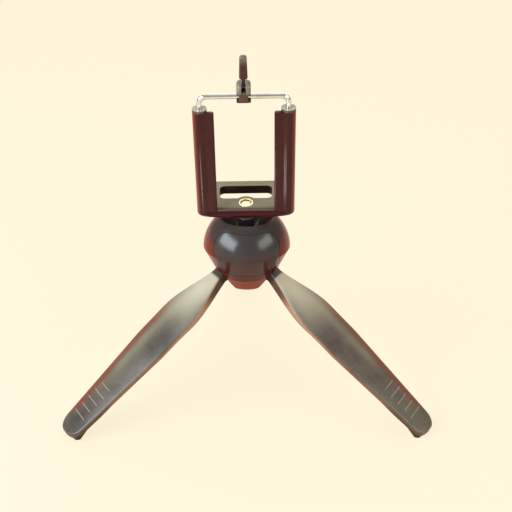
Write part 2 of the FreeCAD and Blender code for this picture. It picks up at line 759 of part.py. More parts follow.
def tube_caps():
    """Plugs in the tube tops that guide the wire."""
    caps = []
    for side, sign in (("left", "-"), ("right", "")):
        spot = (sign + "tube_distance", "-tube_setback", "tube_top")
        low = (spot[0], spot[1], "tube_top - bushing_length")
        head = rod("cap_head_" + side, "z", "tube_radius", spot, "tube_cap_height")
        neck = rod("cap_neck_" + side, "z", "tube_bore - fit", low, "bushing_length")
        hole = rod("cap_hole_" + side, "z", "wire_radius + fit", low, "bushing_length + tube_cap_height")
        caps.append(less("cap_" + side, joined("cap_solid_" + side, head, neck), hole))
    piece("tube_caps", grouped("caps", *caps), turn=LEAN)


def wire_and_springs():
    """The bent chrome wire, the washers at its ends and the springs that pull it down."""
    height = "crossbar_height - wire_bend"
    legs = both_sides("wire_leg", lambda name, sign: rod(
        name, "z", "wire_radius", (sign + "tube_distance", "-tube_setback", "wire_bottom"),
        height + " - wire_bottom"))
    bar = rod("crossbar", "x", "wire_radius",
              ("-tube_distance + wire_bend", "-tube_setback", "crossbar_height"),
              "2 * (tube_distance - wire_bend)")
    bends = []
    for side, sign, start in (("left", "-", 90.0), ("right", "", 0.0)):
        bend = doc.addObject("Part::Torus", "wire_bend_" + side)
        bind(bend, Radius1="wire_bend", Radius2="wire_radius")
        bend.Angle3 = 90
        middle = "%s(tube_distance - wire_bend)" % sign
        upright = FreeCAD.Rotation(V(1, 0, 0), 90).multiply(FreeCAD.Rotation(V(0, 0, 1), start))
        bends.append(moved(bend, (middle, "-tube_setback", height), upright))
    piece("wire_bracket", joined("wire", *legs, bar, *bends), turn=LEAN)
    for node, radius, low, length in (
            ("stop_washers", "washer_radius", "wire_bottom", "washer_thickness"),
            ("plunger_springs", "washer_radius", "wire_bottom + washer_thickness",
             "tube_top - bushing_length - wire_bottom - washer_thickness")):
        rings = []
        for side, sign in (("left", "-"), ("right", "")):
            spot = (sign + "tube_distance", "-tube_setback", low)
            outer = rod("%s_outside_%s" % (node, side), "z", radius, spot, length)
            inner = rod("%s_inside_%s" % (node, side), "z", "wire_radius + fit", spot, length)
            rings.append(less("%s_%s" % (node, side), outer, inner))
        piece(node, grouped(node + "_group", *rings), turn=LEAN)


def clip():
    """The block that swivels on the crossbar and the jaw hinged between its ears."""
    side_view = [
        ("-clip_back", "clip_bottom"), ("-clip_back", "jaw_pin_height"),
        ("-jaw_pin_setback", "jaw_pin_height + ear_radius - 0.2"),
        ("-jaw_pin_setback - 2.4", "jaw_pin_height + 1.6"),
        ("-clip_front", "clip_shoulder"), ("-clip_front", "clip_bottom"),
    ]
    form = extruded("clip_form", "YZ_Plane", side_view, "clip_width")
    low = reading("clip_bottom")
    rounded(form, "clip_rounding",
            lambda spot, edge: straight_along(edge, V(1, 0, 0)) and abs(spot.z - low) < 0.01)
    ears = rod("clip_ears", "x", "ear_radius",
               ("-clip_width / 2", "-jaw_pin_setback", "jaw_pin_height"), "clip_width")
    gap = block("clip_gap", ("-clip_slot_width / 2", "clip_slot_width / 2"),
                ("-clip_front - 1", "0"), ("clip_slot_bottom", "jaw_pin_height + 6"))
    wire = rod("clip_wire_hole", "x", "wire_radius + fit",
               ("-clip_width", "-tube_setback", "crossbar_height"), "2 * clip_width")
    pin = rod("clip_pin_hole", "x", "jaw_pin_radius + fit",
              ("-clip_width / 2", "-jaw_pin_setback", "jaw_pin_height"), "clip_width")
    notches = [
        block("notch_left", ("-clip_width", "-clip_width / 2 + notch_depth"),
              ("-clip_front - 1", "-tube_setback"), ("notch_bottom", "notch_top")),
        block("notch_right", ("clip_width / 2 - notch_depth", "clip_width"),
              ("-clip_front - 1", "-tube_setback"), ("notch_bottom", "notch_top")),
    ]
    piece("clip_body", less("clip_block", joined("clip_whole", form, ears), gap, wire, pin, *notches),
          turn=LEAN)
    piece("jaw_pin", grouped("jaw_pin_whole", rod(
        "jaw_pin_form", "x", "jaw_pin_radius",
        ("-clip_width / 2 + 0.2", "-jaw_pin_setback", "jaw_pin_height"), "clip_width - 0.4")), turn=LEAN)
    eye = rod("jaw_eye", "x", "ear_radius - 0.6", ("-jaw_neck_width / 2", "-jaw_pin_setback",
                                                   "jaw_pin_height"), "jaw_neck_width")
    middle = "-jaw_pin_setback"
    front = "(-jaw_pin_setback - jaw_thickness / 2)"
    back = "(-jaw_pin_setback + jaw_thickness / 2)"
    neck = block("jaw_neck", ("-jaw_neck_width / 2", "jaw_neck_width / 2"), (front, back),
                 ("jaw_pin_height", "jaw_shoulder + 1.5"))
    bar_view = [
        (front, "jaw_shoulder + 1"), (front, "jaw_top - 4"),
        (middle + " + jaw_curl - 1", "jaw_top"), (back + " + jaw_curl + 1", "jaw_top"),
        (back + " + jaw_curl + 1", "jaw_top - 2"), (back + " + 0.4", "jaw_top - 6"),
        (back, "jaw_shoulder + 1"),
    ]
    bar = extruded("jaw_bar", "YZ_Plane", bar_view, "jaw_width")
    rounded(bar, "jaw_rounding", lambda spot, edge: straight_along(edge, V(1, 0, 0)))
    hole = rod("jaw_hole", "x", "jaw_pin_radius + fit", ("-jaw_width", middle, "jaw_pin_height"),
               "2 * jaw_width")
    piece("clip_jaw", less("jaw", joined("jaw_whole", eye, neck, bar), hole), turn=LEAN)


def leg_half_width(station):
    """Half the leg's width: a smooth flare out of the root, then a straight taper to the foot."""
    flare = min(max((station - reading("flare_start")) / reading("flare_length"), 0.0), 1.0)
    smooth = flare * flare * (3 - 2 * flare)
    width = reading("root_half_width")
    width += (reading("paddle_half_width") - width) * smooth
    share = (station - reading("taper_start")) / reading("leg_length - taper_start")
    return width + (reading("foot_half_width") - reading("paddle_half_width")) * max(share, 0.0)


def leg_section(station, inset, deeper):
    """One cross section of the leg: crowned above, open skirts at the sides, flat below."""
    half = leg_half_width(station) - inset
    crown_radius = reading("leg_crown_radius")
    edge = reading("leg_face_height") - inset
    crown = (half ** 2) / (2 * crown_radius)
    along = (station - reading("leg_root")) / reading("leg_length - leg_root")
    skirt = reading("skirt_root") + (reading("skirt_foot - skirt_root")) * along + deeper
    low = reading("leg_face_height") - skirt
    arc = Part.Arc(V(station, -half, edge), V(station, 0, edge + crown), V(station, half, edge))
    lines = [
        Part.LineSegment(V(station, half, edge), V(station, half, low)),
        Part.LineSegment(V(station, half, low), V(station, -half, low)),
        Part.LineSegment(V(station, -half, low), V(station, -half, edge)),
    ]
    return Part.Wire([arc.toShape()] + [line.toShape() for line in lines])


def leg_loft(name, first, last, inset, deeper):
    """The leg's form between two stations, lofted through evenly spaced cross sections."""
    steps = max(int((last - first) / reading("leg_station_spacing")), 2)
    stations = [first + (last - first) * step / steps for step in range(steps + 1)]
    item = doc.addObject("Part::Feature", name)
    item.Shape = Part.makeLoft([leg_section(at, inset, deeper) for at in stations], True, True)
    return item


def leg_form():
    """A crowned paddle, hollow and ribbed underneath, with its hinge knuckle and engraved ticks."""
    root = reading("leg_root")
    length = reading("leg_length")
    wall = reading("leg_wall")
    hollow_end = length - reading("leg_end_block")
    paddle = leg_loft("leg_paddle", root, length, 0.0, 0.0)
    hollow = leg_loft("leg_hollow", root + 2 * wall, hollow_end, wall, 1.0)
    end_corner = "leg_end_corner"
    plan = extruded("leg_plan", "XY_Plane", [
        ("leg_root - 1", "-paddle_half_width - 2"), ("leg_length", "-foot_half_width"),
        ("leg_length", "foot_half_width"), ("leg_root - 1", "paddle_half_width + 2")],
        "4 * leg_face_height")
    end = reading("leg_length")
    rounded(plan, end_corner,
            lambda spot, edge: straight_along(edge, V(0, 0, 1)) and abs(spot.x - end) < 0.01)
    knuckle = rod("knuckle", "y", "knuckle_radius", ("0", "-knuckle_width / 2", "0"), "knuckle_width")
    neck = extruded("knuckle_neck", "XZ_Plane", [
        ("-1.3", "3.2"), ("leg_root", "leg_face_height"), ("leg_root + 3", "leg_face_height"),
        ("leg_root + 3", "leg_face_height - skirt_root"), ("leg_root", "-1.4"), ("1.3", "-3.2")],
        "knuckle_width")
    shaped = common("leg_rounded", paddle, plan)
    opened = less("leg_opened", shaped, hollow)
    ribs = []
    count = int((hollow_end - root) / reading("rib_spacing"))
    for number in range(1, count):
        start = "leg_root + %d * rib_spacing" % number
        rib = block("rib_%d" % number, (start, start + " + rib_width"),
                    ("-paddle_half_width", "paddle_half_width"),
                    ("leg_face_height - skirt_foot", "leg_face_height + 4"))
        ribs.append(common("rib_trimmed_%d" % number, rib, hollow))
    ticks = []
    for number in range(5):
        start = "tick_first + %d * tick_spacing" % number
        ticks.append(block("tick_%d" % number, (start, start + " + tick_width"),
                           ("-tick_half_length", "tick_half_length"),
                           ("leg_face_height + tick_depth", "leg_face_height + 4")))
    pin_hole = rod("knuckle_bore", "y", "leg_pin_radius + fit", ("0", "-knuckle_width", "0"),
                   "2 * knuckle_width")
    solid = joined("leg_solid", opened, *ribs, knuckle, neck)
    return less("leg_whole", solid, pin_hole, *ticks)


def foot_form():
    """The rubber pad: a rounded heel under the leg's end, cut flat where it stands."""
    under = "(leg_face_height - skirt_foot)"
    pad = extruded("foot_side", "XZ_Plane", [
        ("foot_start", under), ("foot_start + 1", under + " - 2.6"),
        ("foot_lowest - 6", "%s - foot_drop * 0.8" % under), ("foot_lowest", "%s - foot_drop" % under),
        ("leg_length - foot_end_gap", under + " - 3"), ("leg_length - foot_end_gap", under)],
        "2 * foot_half")
    rounded(pad, "foot_rounding", lambda spot, edge: spot.z < reading(under) - 0.5
            and not straight_along(edge, V(0, 1, 0)))
    return pad


def legs():
    """Three legs, their pads cut by the floor, and their hinge pins."""
    leg = leg_form()
    pitch = 90 - reading("leg_splay")
    drop = reading("ball_height - leg_pin_depth")
    pad = foot_form()
    floor_size = V(300, 300, 60)
    floor = doc.addObject("Part::Box", "floor")
    floor.Length, floor.Width, floor.Height = floor_size
    level = FreeCAD.Placement(V(), FreeCAD.Rotation(0, -pitch, 0))
    floor.Placement = level.multiply(FreeCAD.Placement(
        V(-floor_size.x / 2, -floor_size.y / 2, -drop - floor_size.z), FreeCAD.Rotation()))
    standing_pad = less("standing_pad", pad, floor, leg)
    for side, azimuth in LEGS.items():
        spot = ("leg_pin_distance * cos(%g)" % azimuth,
                "ball_axis_y + leg_pin_distance * sin(%g)" % azimuth, "ball_height - leg_pin_depth")
        turn = FreeCAD.Rotation(azimuth, pitch, 0)
        piece(side + "_leg", grouped(side + "_leg_form", leg), spot, turn)
        piece(side + "_foot_pad", grouped(side + "_pad_form", standing_pad), spot, turn)
        pin = rod(side + "_pin_form", "y", "leg_pin_radius", ("0", "-leg_pin_length / 2", "0"),
                  "leg_pin_length")
        piece(side + "_leg_pin", grouped(side + "_pin", pin), spot, turn)


def centre_on_feet():
    """Moves the ball's axis so that the stand's box is centred on the origin along Y."""
    doc.recompute()
    feet = [pieces[side + kind].Shape.optimalBoundingBox(False)
            for side in LEGS for kind in ("_leg", "_foot_pad")]
    middle = (min(box.YMin for box in feet) + max(box.YMax for box in feet)) / 2
    sheet.set(cells["ball_axis_y"], "%.4f" % -middle)
    doc.recompute()
    print("ball axis at y = %.4f" % -middle)


def write_pieces():
    """Checks every object and shape, then writes one file for each sub-part."""
    for item in doc.Objects:
        bad = [word for word in item.State if word in ("Invalid", "Error")]
        if bad:
            raise RuntimeError("%s (%s) is %s" % (item.Name, item.Label, bad))
    os.makedirs("parts", exist_ok=True)
    for node, item in pieces.items():
        shape = item.Shape
        if shape.isNull() or not shape.isValid() or not shape.Solids:
            raise RuntimeError(node + " has no valid solid")
        shape.exportStep("parts/%s.step" % node)
        box = shape.optimalBoundingBox(False)
        print("%-22s solids %d volume %9.2f  x %.2f..%.2f y %.2f..%.2f z %.2f..%.2f" % (
            node, len(shape.Solids), shape.Volume, box.XMin, box.XMax, box.YMin, box.YMax,
            box.ZMin, box.ZMax))


legs()
centre_on_feet()
housing()
ball_and_flange()
base_plate()
holder_frame()
tube_caps()
wire_and_springs()
clip()
doc.recompute()
write_pieces()
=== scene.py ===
import json
import math

import bmesh
import bpy
import numpy as np
from mathutils import Matrix, Vector


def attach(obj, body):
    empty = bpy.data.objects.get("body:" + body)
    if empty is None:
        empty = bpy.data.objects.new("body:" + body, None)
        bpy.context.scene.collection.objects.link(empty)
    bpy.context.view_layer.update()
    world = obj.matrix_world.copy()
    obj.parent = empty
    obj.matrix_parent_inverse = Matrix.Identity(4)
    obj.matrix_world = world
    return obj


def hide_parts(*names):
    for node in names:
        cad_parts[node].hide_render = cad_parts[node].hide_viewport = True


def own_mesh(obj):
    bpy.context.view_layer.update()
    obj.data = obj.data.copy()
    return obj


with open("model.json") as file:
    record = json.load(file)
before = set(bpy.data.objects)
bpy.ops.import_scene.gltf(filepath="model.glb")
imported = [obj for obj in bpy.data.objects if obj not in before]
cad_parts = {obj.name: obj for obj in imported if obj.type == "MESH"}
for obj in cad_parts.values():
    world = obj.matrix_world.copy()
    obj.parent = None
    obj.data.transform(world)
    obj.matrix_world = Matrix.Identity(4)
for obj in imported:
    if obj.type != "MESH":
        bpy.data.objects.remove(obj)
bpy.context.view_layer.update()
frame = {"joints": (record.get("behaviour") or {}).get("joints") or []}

# Mini table tripod with a folding phone holder. Sizes are in millimetres in each piece's own axes:
# the housing round the ball's centre, the holder up its leaning stud, a leg outwards from its pin.
MM = 0.001
JOINTS = {joint["name"]: joint for joint in frame["joints"]}
BALL = np.array(JOINTS["ball_tilt"]["pos_m"]) / MM


def in_metres(points):
    return np.asarray(points, float) * MM


def axes_from(side, up):
    """Three unit axes: the side as given, the way back, and up square to the side."""
    side = np.asarray(side, float) / np.linalg.norm(side)
    up = np.asarray(up, float)
    up = up - up @ side * side
    up /= np.linalg.norm(up)
    return np.array([side, np.cross(up, side), up])


def placed(points, axes, origin):
    """Points given along three axes from an origin, all in millimetres."""
    return np.asarray(points, float) @ axes + origin


HOLDER_AXES = axes_from(JOINTS["clip_swivel"]["axis"], JOINTS["holder_turn"]["axis"])
UPRIGHT = np.eye(3)


def grid_faces(rows, columns, wrap_rows=False, wrap_columns=False):
    """Quads between neighbouring points of a grid that is stored row after row."""
    row = np.arange(rows if wrap_rows else rows - 1)
    column = np.arange(columns if wrap_columns else columns - 1)
    row, column = np.meshgrid(row, column, indexing="ij")
    after_row = (row + 1) % rows
    after_column = (column + 1) % columns
    corners = [row * columns + column, row * columns + after_column,
               after_row * columns + after_column, after_row * columns + column]
    return np.stack([corner.ravel() for corner in corners], axis=1)


def together(shells):
    """One list of points and faces out of several."""
    points, faces, start = [], [], 0
    for shell_points, shell_faces in shells:
        points.append(np.asarray(shell_points, float))
        faces += [tuple(int(corner) + start for corner in face) for face in shell_faces]
        start += len(shell_points)
    return np.concatenate(points), faces


def tube_shell(rings, closed_path=False):
    """A skin over rings of equal point count, with a flat lid on each end of an open path."""
    rings = np.asarray(rings, float)
    count, around = rings.shape[:2]
    faces = [tuple(face) for face in grid_faces(count, around, closed_path, True)]
    if not closed_path:
        faces.append(tuple(range(around))[::-1])
        faces.append(tuple(range((count - 1) * around, count * around)))
    return rings.reshape(-1, 3), faces


def full_turn(count):
    """Angles round a full circle, its end left out."""
    return np.linspace(0, 2 * np.pi, count, endpoint=False)


def arc_points(centre, radii, from_angle, to_angle, count):
    """Points along an arc, in degrees, with a radius for each direction of the plan."""
    angle = np.radians(np.linspace(from_angle, to_angle, count))
    return np.stack([centre[0] + radii[0] * np.cos(angle), centre[1] + radii[1] * np.sin(angle)], axis=1)


def level_ring(x, y, height):
    """A ring of points that all lie at one height."""
    return np.stack([x, y, np.full(len(x), height)], axis=1)


# Points nearer than this are one point, and a face's edge shorter than the second is dropped
WELD = 0.004
SHORTEST_EDGE = 0.002


def made(name, shells, body, replaced, axes=HOLDER_AXES, origin=BALL, sharp=50.0, marks=None):
    """Puts shells into a mesh, merges their doubles, turns faces outwards and gives it to a body.

    Edges that bend by more than the sharp angle, in degrees, stay sharp. marks maps an
    attribute's name to a function of the points in the piece's own axes.
    """
    points, faces = together(shells)
    mesh = bpy.data.meshes.new(name)
    mesh.from_pydata(in_metres(placed(points, axes, origin)).tolist(), [], faces)
    for mark, value_at in (marks or {}).items():
        attribute = mesh.attributes.new(mark, "FLOAT", "POINT")
        attribute.data.foreach_set("value", np.asarray(value_at(points), np.float32))
    work = bmesh.new()
    work.from_mesh(mesh)
    bmesh.ops.remove_doubles(work, verts=work.verts, dist=WELD * MM)
    bmesh.ops.dissolve_degenerate(work, edges=work.edges, dist=SHORTEST_EDGE * MM)
    bmesh.ops.recalc_face_normals(work, faces=work.faces)
    work.to_mesh(mesh)
    work.free()
    mesh.polygons.foreach_set("use_smooth", [True] * len(mesh.polygons))
    mesh.set_sharp_from_angle(angle=math.radians(sharp))
    item = bpy.data.objects.new(name, mesh)
    bpy.context.scene.collection.objects.link(item)
    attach(item, body)
    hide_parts(replaced)
    return item


def rising(value, start, run):
    """0 up to the start, 1 from the end of the run on, eased in and out between them."""
    share = np.clip((value - start) / run, 0.0, 1.0)
    return share * share * (3 - 2 * share)


def falling(value, start, run):
    """1 up to the start, 0 from the end of the run on, eased in and out between them."""
    return 1 - rising(value, start, run)


def slab(outline, near, far, near_edge, far_edge, steps=5):
    """A plate with rounded edges: a plan outline in X and Z carried across Y from near to far.

    Rings of the outline are pulled in along its normals as a quarter circle runs out at each side.
    An edge radius is one number, or one for each point of the outline.
    """
    outline = np.asarray(outline, float)
    ahead = np.roll(outline, -1, axis=0) - np.roll(outline, 1, axis=0)
    normal = np.stack([ahead[:, 1], -ahead[:, 0]], axis=1)
    normal /= np.linalg.norm(normal, axis=1)[:, None]
    turn = np.linspace(0, np.pi / 2, steps)
    rings = []
    for end, side, edge, order in ((near, -1, near_edge, turn[::-1]), (far, 1, far_edge, turn)):
        edge = np.broadcast_to(np.asarray(edge, float), (len(outline),))
        for angle in order:
            plan = outline - normal * (edge * (1 - math.cos(angle)))[:, None]
            across = end - side * edge * (1 - math.sin(angle))
            rings.append(np.stack([plan[:, 0], across, plan[:, 1]], axis=1))
    return tube_shell(rings)


# Legs: a crowned paddle with turned-down skirts, hollow and ribbed underneath
LEG_ROOT = 4.15
LEG_LENGTH = 134.7
FACE_HEIGHT = 5.63
ROOT_HALF = 3.6
PADDLE_HALF = 15.6
FOOT_HALF = 9.9
FLARE_START = -2.0
FLARE_LENGTH = 44.0
TAPER_START = 64.0
CROWN_RADIUS = 50.0
END_CORNER = 8.0
END_BLOCK = 19.0
EDGE_FILLET = 1.5

# The skirts' depth below the face at the root, along the middle and at the foot
SKIRT_ROOT = 5.7
SKIRT_MIDDLE = 2.1
SKIRT_FOOT = 2.6
SKIRT_RUN = 50.0
FOOT_START = 102.0
FOOT_RUN = 12.0

# The hollow underneath: its walls, its ribs, and how far its ceiling sags towards the walls
LEG_WALL = 1.9
RIB_SPACING = 15.0
RIB_WIDTH = 1.2
RIB_RISE = 0.3
CEILING_SAG = 0.6

# Five grooves across the face near the foot, with slightly open walls
TICK_COUNT = 5
TICK_FIRST = 99.2
TICK_SPACING = 5.5
TICK_WIDTH = 0.5
TICK_DEPTH = 0.3
TICK_HALF_LENGTH = 5.8
TICK_OPENING = 0.04
TICK_WALL = 0.12
TICK_END_WALL = 0.4
TICK_FLOOR_INSET = 0.08
TICK_MOUTH = 0.1
TICK_MARK_DEPTH = 0.5

# Near the root, where the leg is narrow, the rolled edge and the wall take a share of its half width
EDGE_SHARE = 0.75
WALL_SHARE = 0.4
NARROWEST = 1.0

# Where the section steps, two stations stand this close together
STATION_GAP = 0.02
STATION_SPACING = 1.0
CORNER_STATIONS = 22
ROLL_POINTS = 7
CROWN_POINTS = 35
CEILING_POINTS = 13

# The hinge eye and its neck into the leg's root
KNUCKLE_RADIUS = 3.5
KNUCKLE_HALF_WIDTH = 4.2
KNUCKLE_EDGE = 0.4
NECK_LOW = -1.4
NECK_RUN = 3.0
NECK_UNDER_FACE = 0.1


def leg_half_width(station):
    """Half the width: a smooth flare out of the root, then a straight taper to the foot."""
    width = ROOT_HALF + (PADDLE_HALF - ROOT_HALF) * rising(station, FLARE_START, FLARE_LENGTH)
    share = np.clip((station - TAPER_START) / (LEG_LENGTH - TAPER_START), 0.0, None)
    return width + (FOOT_HALF - PADDLE_HALF) * share


def leg_outline(station):
    """The half width with the two corners of the free end rounded off."""
    width = leg_half_width(station)
    into_corner = np.clip(station - (LEG_LENGTH - END_CORNER), 0.0, END_CORNER)
    return width - END_CORNER + np.sqrt(END_CORNER ** 2 - into_corner ** 2)


def edge_distance(station, across):
    """How far a point of the leg's plan lies inside the outline, also round the end's corners."""
    width = leg_half_width(station)
    straight = np.minimum(leg_outline(station) - np.abs(across), LEG_LENGTH - station)
    past = station - (LEG_LENGTH - END_CORNER)
    out = np.abs(across) - (width - END_CORNER)
    corner = END_CORNER - np.hypot(past, out)
    return np.where((past > 0) & (out > 0), corner, straight)


def crown_rise(across, width):
    """How far the crown stands over the face's edge: the flat arc's height, as a parabola."""
    return (width ** 2 - np.minimum(across ** 2, width ** 2)) / (2 * CROWN_RADIUS)


def leg_face(station, across):
    """Height of the upper face: a flat crown, an edge rolled down by a quarter circle, five ticks."""
    crown = crown_rise(across, leg_half_width(station))
    inside = np.clip(EDGE_FILLET - edge_distance(station, across), 0.0, EDGE_FILLET)
    rolled = EDGE_FILLET - np.sqrt(EDGE_FILLET ** 2 - inside ** 2)
    tick = np.zeros_like(crown)
    for number in range(TICK_COUNT):
        middle = TICK_FIRST + number * TICK_SPACING + TICK_WIDTH / 2
        along = np.clip((TICK_WIDTH / 2 + TICK_OPENING - np.abs(station - middle)) / TICK_WALL, 0.0, 1.0)
        side = np.clip((TICK_HALF_LENGTH - np.abs(across)) / TICK_END_WALL, 0.0, 1.0)
        tick = np.maximum(tick, along * side)
    return FACE_HEIGHT + crown - rolled - TICK_DEPTH * tick


def hollow_start():
    return LEG_ROOT + 2 * LEG_WALL


def hollow_end():
    return LEG_LENGTH - END_BLOCK


def rib_starts():
    count = int((hollow_end() - LEG_ROOT) / RIB_SPACING)
    return [LEG_ROOT + number * RIB_SPACING for number in range(1, count)]


def leg_stations():
    """Stations along the leg: a millimetre apart, closer at ribs, ticks and the rounded end."""
    regular = np.arange(LEG_ROOT, LEG_LENGTH - END_CORNER, STATION_SPACING)
    quarter = np.linspace(0, np.pi / 2, CORNER_STATIONS)
    corner = LEG_LENGTH - END_CORNER + END_CORNER * np.sin(quarter)
    close = []
    for step in (hollow_start(), hollow_end()):
        close += [step, step + STATION_GAP]
    for start in rib_starts():
        end = start + RIB_WIDTH
        close += [start, start + STATION_GAP, end - STATION_GAP, end]
    for number in range(TICK_COUNT):
        start = TICK_FIRST + number * TICK_SPACING
        end = start + TICK_WIDTH
        close += [start - TICK_MOUTH, start, start + TICK_FLOOR_INSET]
        close += [end - TICK_FLOOR_INSET, end, end + TICK_MOUTH]
    return np.unique(np.round(np.concatenate([regular, corner, close]), 4))


def skirt_depth(station):
    """Depth of the skirts: deep at the root, shallow along the middle, a little deeper at the foot."""
    depth = SKIRT_MIDDLE + (SKIRT_ROOT - SKIRT_MIDDLE) * falling(station, LEG_ROOT, SKIRT_RUN)
    return depth + (SKIRT_FOOT - SKIRT_MIDDLE) * rising(station, FOOT_START, FOOT_RUN)


def leg_shell():
    """The paddle as a closed loop of heights carried along the stations.

    Each loop runs up one skirt, over the rolled edge and the crown, down the other skirt,
    and back under the ceiling, which drops to the ribs' height at each rib and to the lower
    rim before and after the hollow.
    """
    station = leg_stations()[:, None]
    width = leg_outline(station)
    low = FACE_HEIGHT - skirt_depth(station)
    mirror = np.array([1, -1, 1])

    roll = EDGE_FILLET * (1 - np.cos(np.linspace(0, np.pi / 2, ROLL_POINTS)))
    inner_half = width - np.minimum(EDGE_FILLET, width * EDGE_SHARE)
    edge_across = width - roll[None, :] * (width - inner_half) / EDGE_FILLET
    middle = inner_half * np.cos(np.linspace(0, np.pi, CROWN_POINTS))[None, 1:-1]
    across = np.concatenate([edge_across, middle, -edge_across[:, ::-1]], axis=1)
    top = leg_face(station, across)
    outer = np.stack([station * np.ones_like(across), across, np.maximum(top, low)], axis=-1)
    outer_rim = np.concatenate([station, width, low], axis=1)[:, None, :]

    near_step = STATION_GAP / 2
    inner_edge = -(width - np.minimum(LEG_WALL, width * WALL_SHARE))
    ceiling = FACE_HEIGHT + (inner_edge ** 2) / (2 * CROWN_RADIUS) - LEG_WALL
    for start in rib_starts():
        on_rib = (station > start + near_step) & (station < start + RIB_WIDTH - near_step)
        ceiling = np.where(on_rib, np.maximum(FACE_HEIGHT - SKIRT_FOOT, low + RIB_RISE), ceiling)
    open_here = (station > hollow_start() + near_step) & (station < hollow_end() + near_step)
    ceiling = np.where(open_here, np.maximum(ceiling, low), low)
    under_across = inner_edge * np.cos(np.linspace(0, np.pi, CEILING_POINTS))[None, :]
    towards_wall = (under_across / np.minimum(inner_edge, -NARROWEST)) ** 2
    sag = np.where(ceiling > FACE_HEIGHT - SKIRT_FOOT + near_step, towards_wall * CEILING_SAG, 0.0)
    under = np.stack([station * np.ones_like(under_across), under_across,
                      np.maximum(ceiling - sag, low)], axis=-1)
    inner_rim = np.concatenate([station, inner_edge, low], axis=1)[:, None, :]
    return tube_shell(np.concatenate([outer_rim, outer, outer_rim * mirror,
                                      inner_rim, under, inner_rim * mirror], axis=1))


def knuckle_shell():
    """The hinge eye with its neck: an arc round the pin that runs into the leg's root."""
    eye = arc_points((0, 0), (KNUCKLE_RADIUS, KNUCKLE_RADIUS), 68, 292, count=30)
    neck_top = FACE_HEIGHT - NECK_UNDER_FACE
    neck = [(LEG_ROOT, NECK_LOW), (LEG_ROOT + NECK_RUN, FACE_HEIGHT - SKIRT_ROOT),
            (LEG_ROOT + NECK_RUN, neck_top), (LEG_ROOT, neck_top)]
    return slab(np.concatenate([eye, neck]), -KNUCKLE_HALF_WIDTH, KNUCKLE_HALF_WIDTH,
                KNUCKLE_EDGE, KNUCKLE_EDGE)


def leg_axes(joint):
    """Along the leg, across it, and out of its face, from the pin's axis and the leg's slope."""
    across = np.array(joint["axis"])
    outward = np.array([across[1], -across[0], 0.0])
    slope = math.radians(90.0 - joint["range_deg"][1])
    along = outward * math.cos(slope) - np.array([0, 0, math.sin(slope)])
    return np.array([along, across, np.cross(along, across)])


# The skirt mark paints a warm reflection: it turns the skirts red-brown
def skirt_share(points):
    """0 on the leg's face, rising over the rolled edge to 1 on the skirts and underneath."""
    station, across, height = points.T
    below_face = FACE_HEIGHT + crown_rise(across, leg_half_width(station)) - height
    return rising(below_face, start=0.25, run=1.1)


def painted_skirt_shade_share(points):
    """Painted shade on the part of the skirts near the hinge and round the foot."""
    station = points[:, 0]
    near_hinge = falling(station, start=14, run=14)
    near_foot = rising(station, start=98, run=16)
    return skirt_share(points) * np.maximum(near_hinge, near_foot)


def painted_floor_reflection_share(points):
    """The part of the skirts under the flare, painted pale as a reflection of the floor."""
    station = points[:, 0]
    return skirt_share(points) * rising(station, start=16, run=12) * falling(station, start=44, run=34)


def painted_hinge_shade_share(points):
    """Painted shade: 1 on the end that turns inside the housing's slot, and a little way out of it."""
    return falling(points[:, 0], start=7.6, run=0.8)


def tick_share(points):
    """1 in the five ticks, 0 elsewhere. Each mark starts half a mouth before its groove."""
    station, across, height = points.T
    first = TICK_FIRST - TICK_MOUTH / 2
    into = (station - first) % TICK_SPACING
    in_row = (station > first) & (station < first + TICK_COUNT * TICK_SPACING)
    in_tick = (into < TICK_WIDTH + TICK_MOUTH) & (np.abs(across) < TICK_HALF_LENGTH)
    on_face = height > FACE_HEIGHT - TICK_MARK_DEPTH
    return (in_row & in_tick & on_face).astype(float)


def painted_root_highlight_share(points):
    """Painted highlight: 1 at the root, falling along the leg, sooner near the edges than in the middle."""
    station, across, _ = points.T
    off_middle = np.minimum(np.abs(across) / leg_half_width(station), 1.0) ** 2
    most_lost = 0.7
    lost_at_edges = most_lost * off_middle * rising(station, start=8.0, run=22.0)
    return falling(station, start=16.0, run=40.0) * (1 - lost_at_edges)


def painted_streak_highlight_share(points, far):
    """A painted highlight streak along the face, off its middle towards the far edge, fading at both ends.

    Across the leg it is a bell curve, whose middle and width are shares of the half width.
    """
    station, across, _ = points.T
    width = leg_half_width(station)
    middle, spread = 0.25, 0.3
    off_streak = (across - middle * far * width) / (spread * width)
    return np.exp(-off_streak ** 2) * rising(station, start=24, run=20) * falling(station, start=74, run=34)


# The painted sheen tint of a leg's edges: how far in it is full on the far side, how it fades from there on
# both sides, the half width in which one side turns into the other, and its strength on the near side
EDGE_TINT_REACH = 4.2
EDGE_TINT_FADE = 1.5
EDGE_TINT_FAR_FADE = 3.6
EDGE_TINT_TURNOVER = 2.0
EDGE_TINT_NEAR = 0.15


def painted_edge_sheen_share(points, far):
    """Painted sheen: 1 along the face's far edge, fading over a few millimetres inwards, and less along the
    near one.
    """
    station, across, _ = points.T
    far_side = 0.5 + 0.5 * np.clip(across * far / EDGE_TINT_TURNOVER, -1, 1)
    inwards = falling(edge_distance(station, across), start=EDGE_TINT_REACH * far_side,
                      run=EDGE_TINT_FADE + EDGE_TINT_FAR_FADE * far_side)
    along = rising(station, start=26, run=18) * falling(station, start=116, run=12)
    return inwards * (EDGE_TINT_NEAR + (1 - EDGE_TINT_NEAR) * far_side) * along


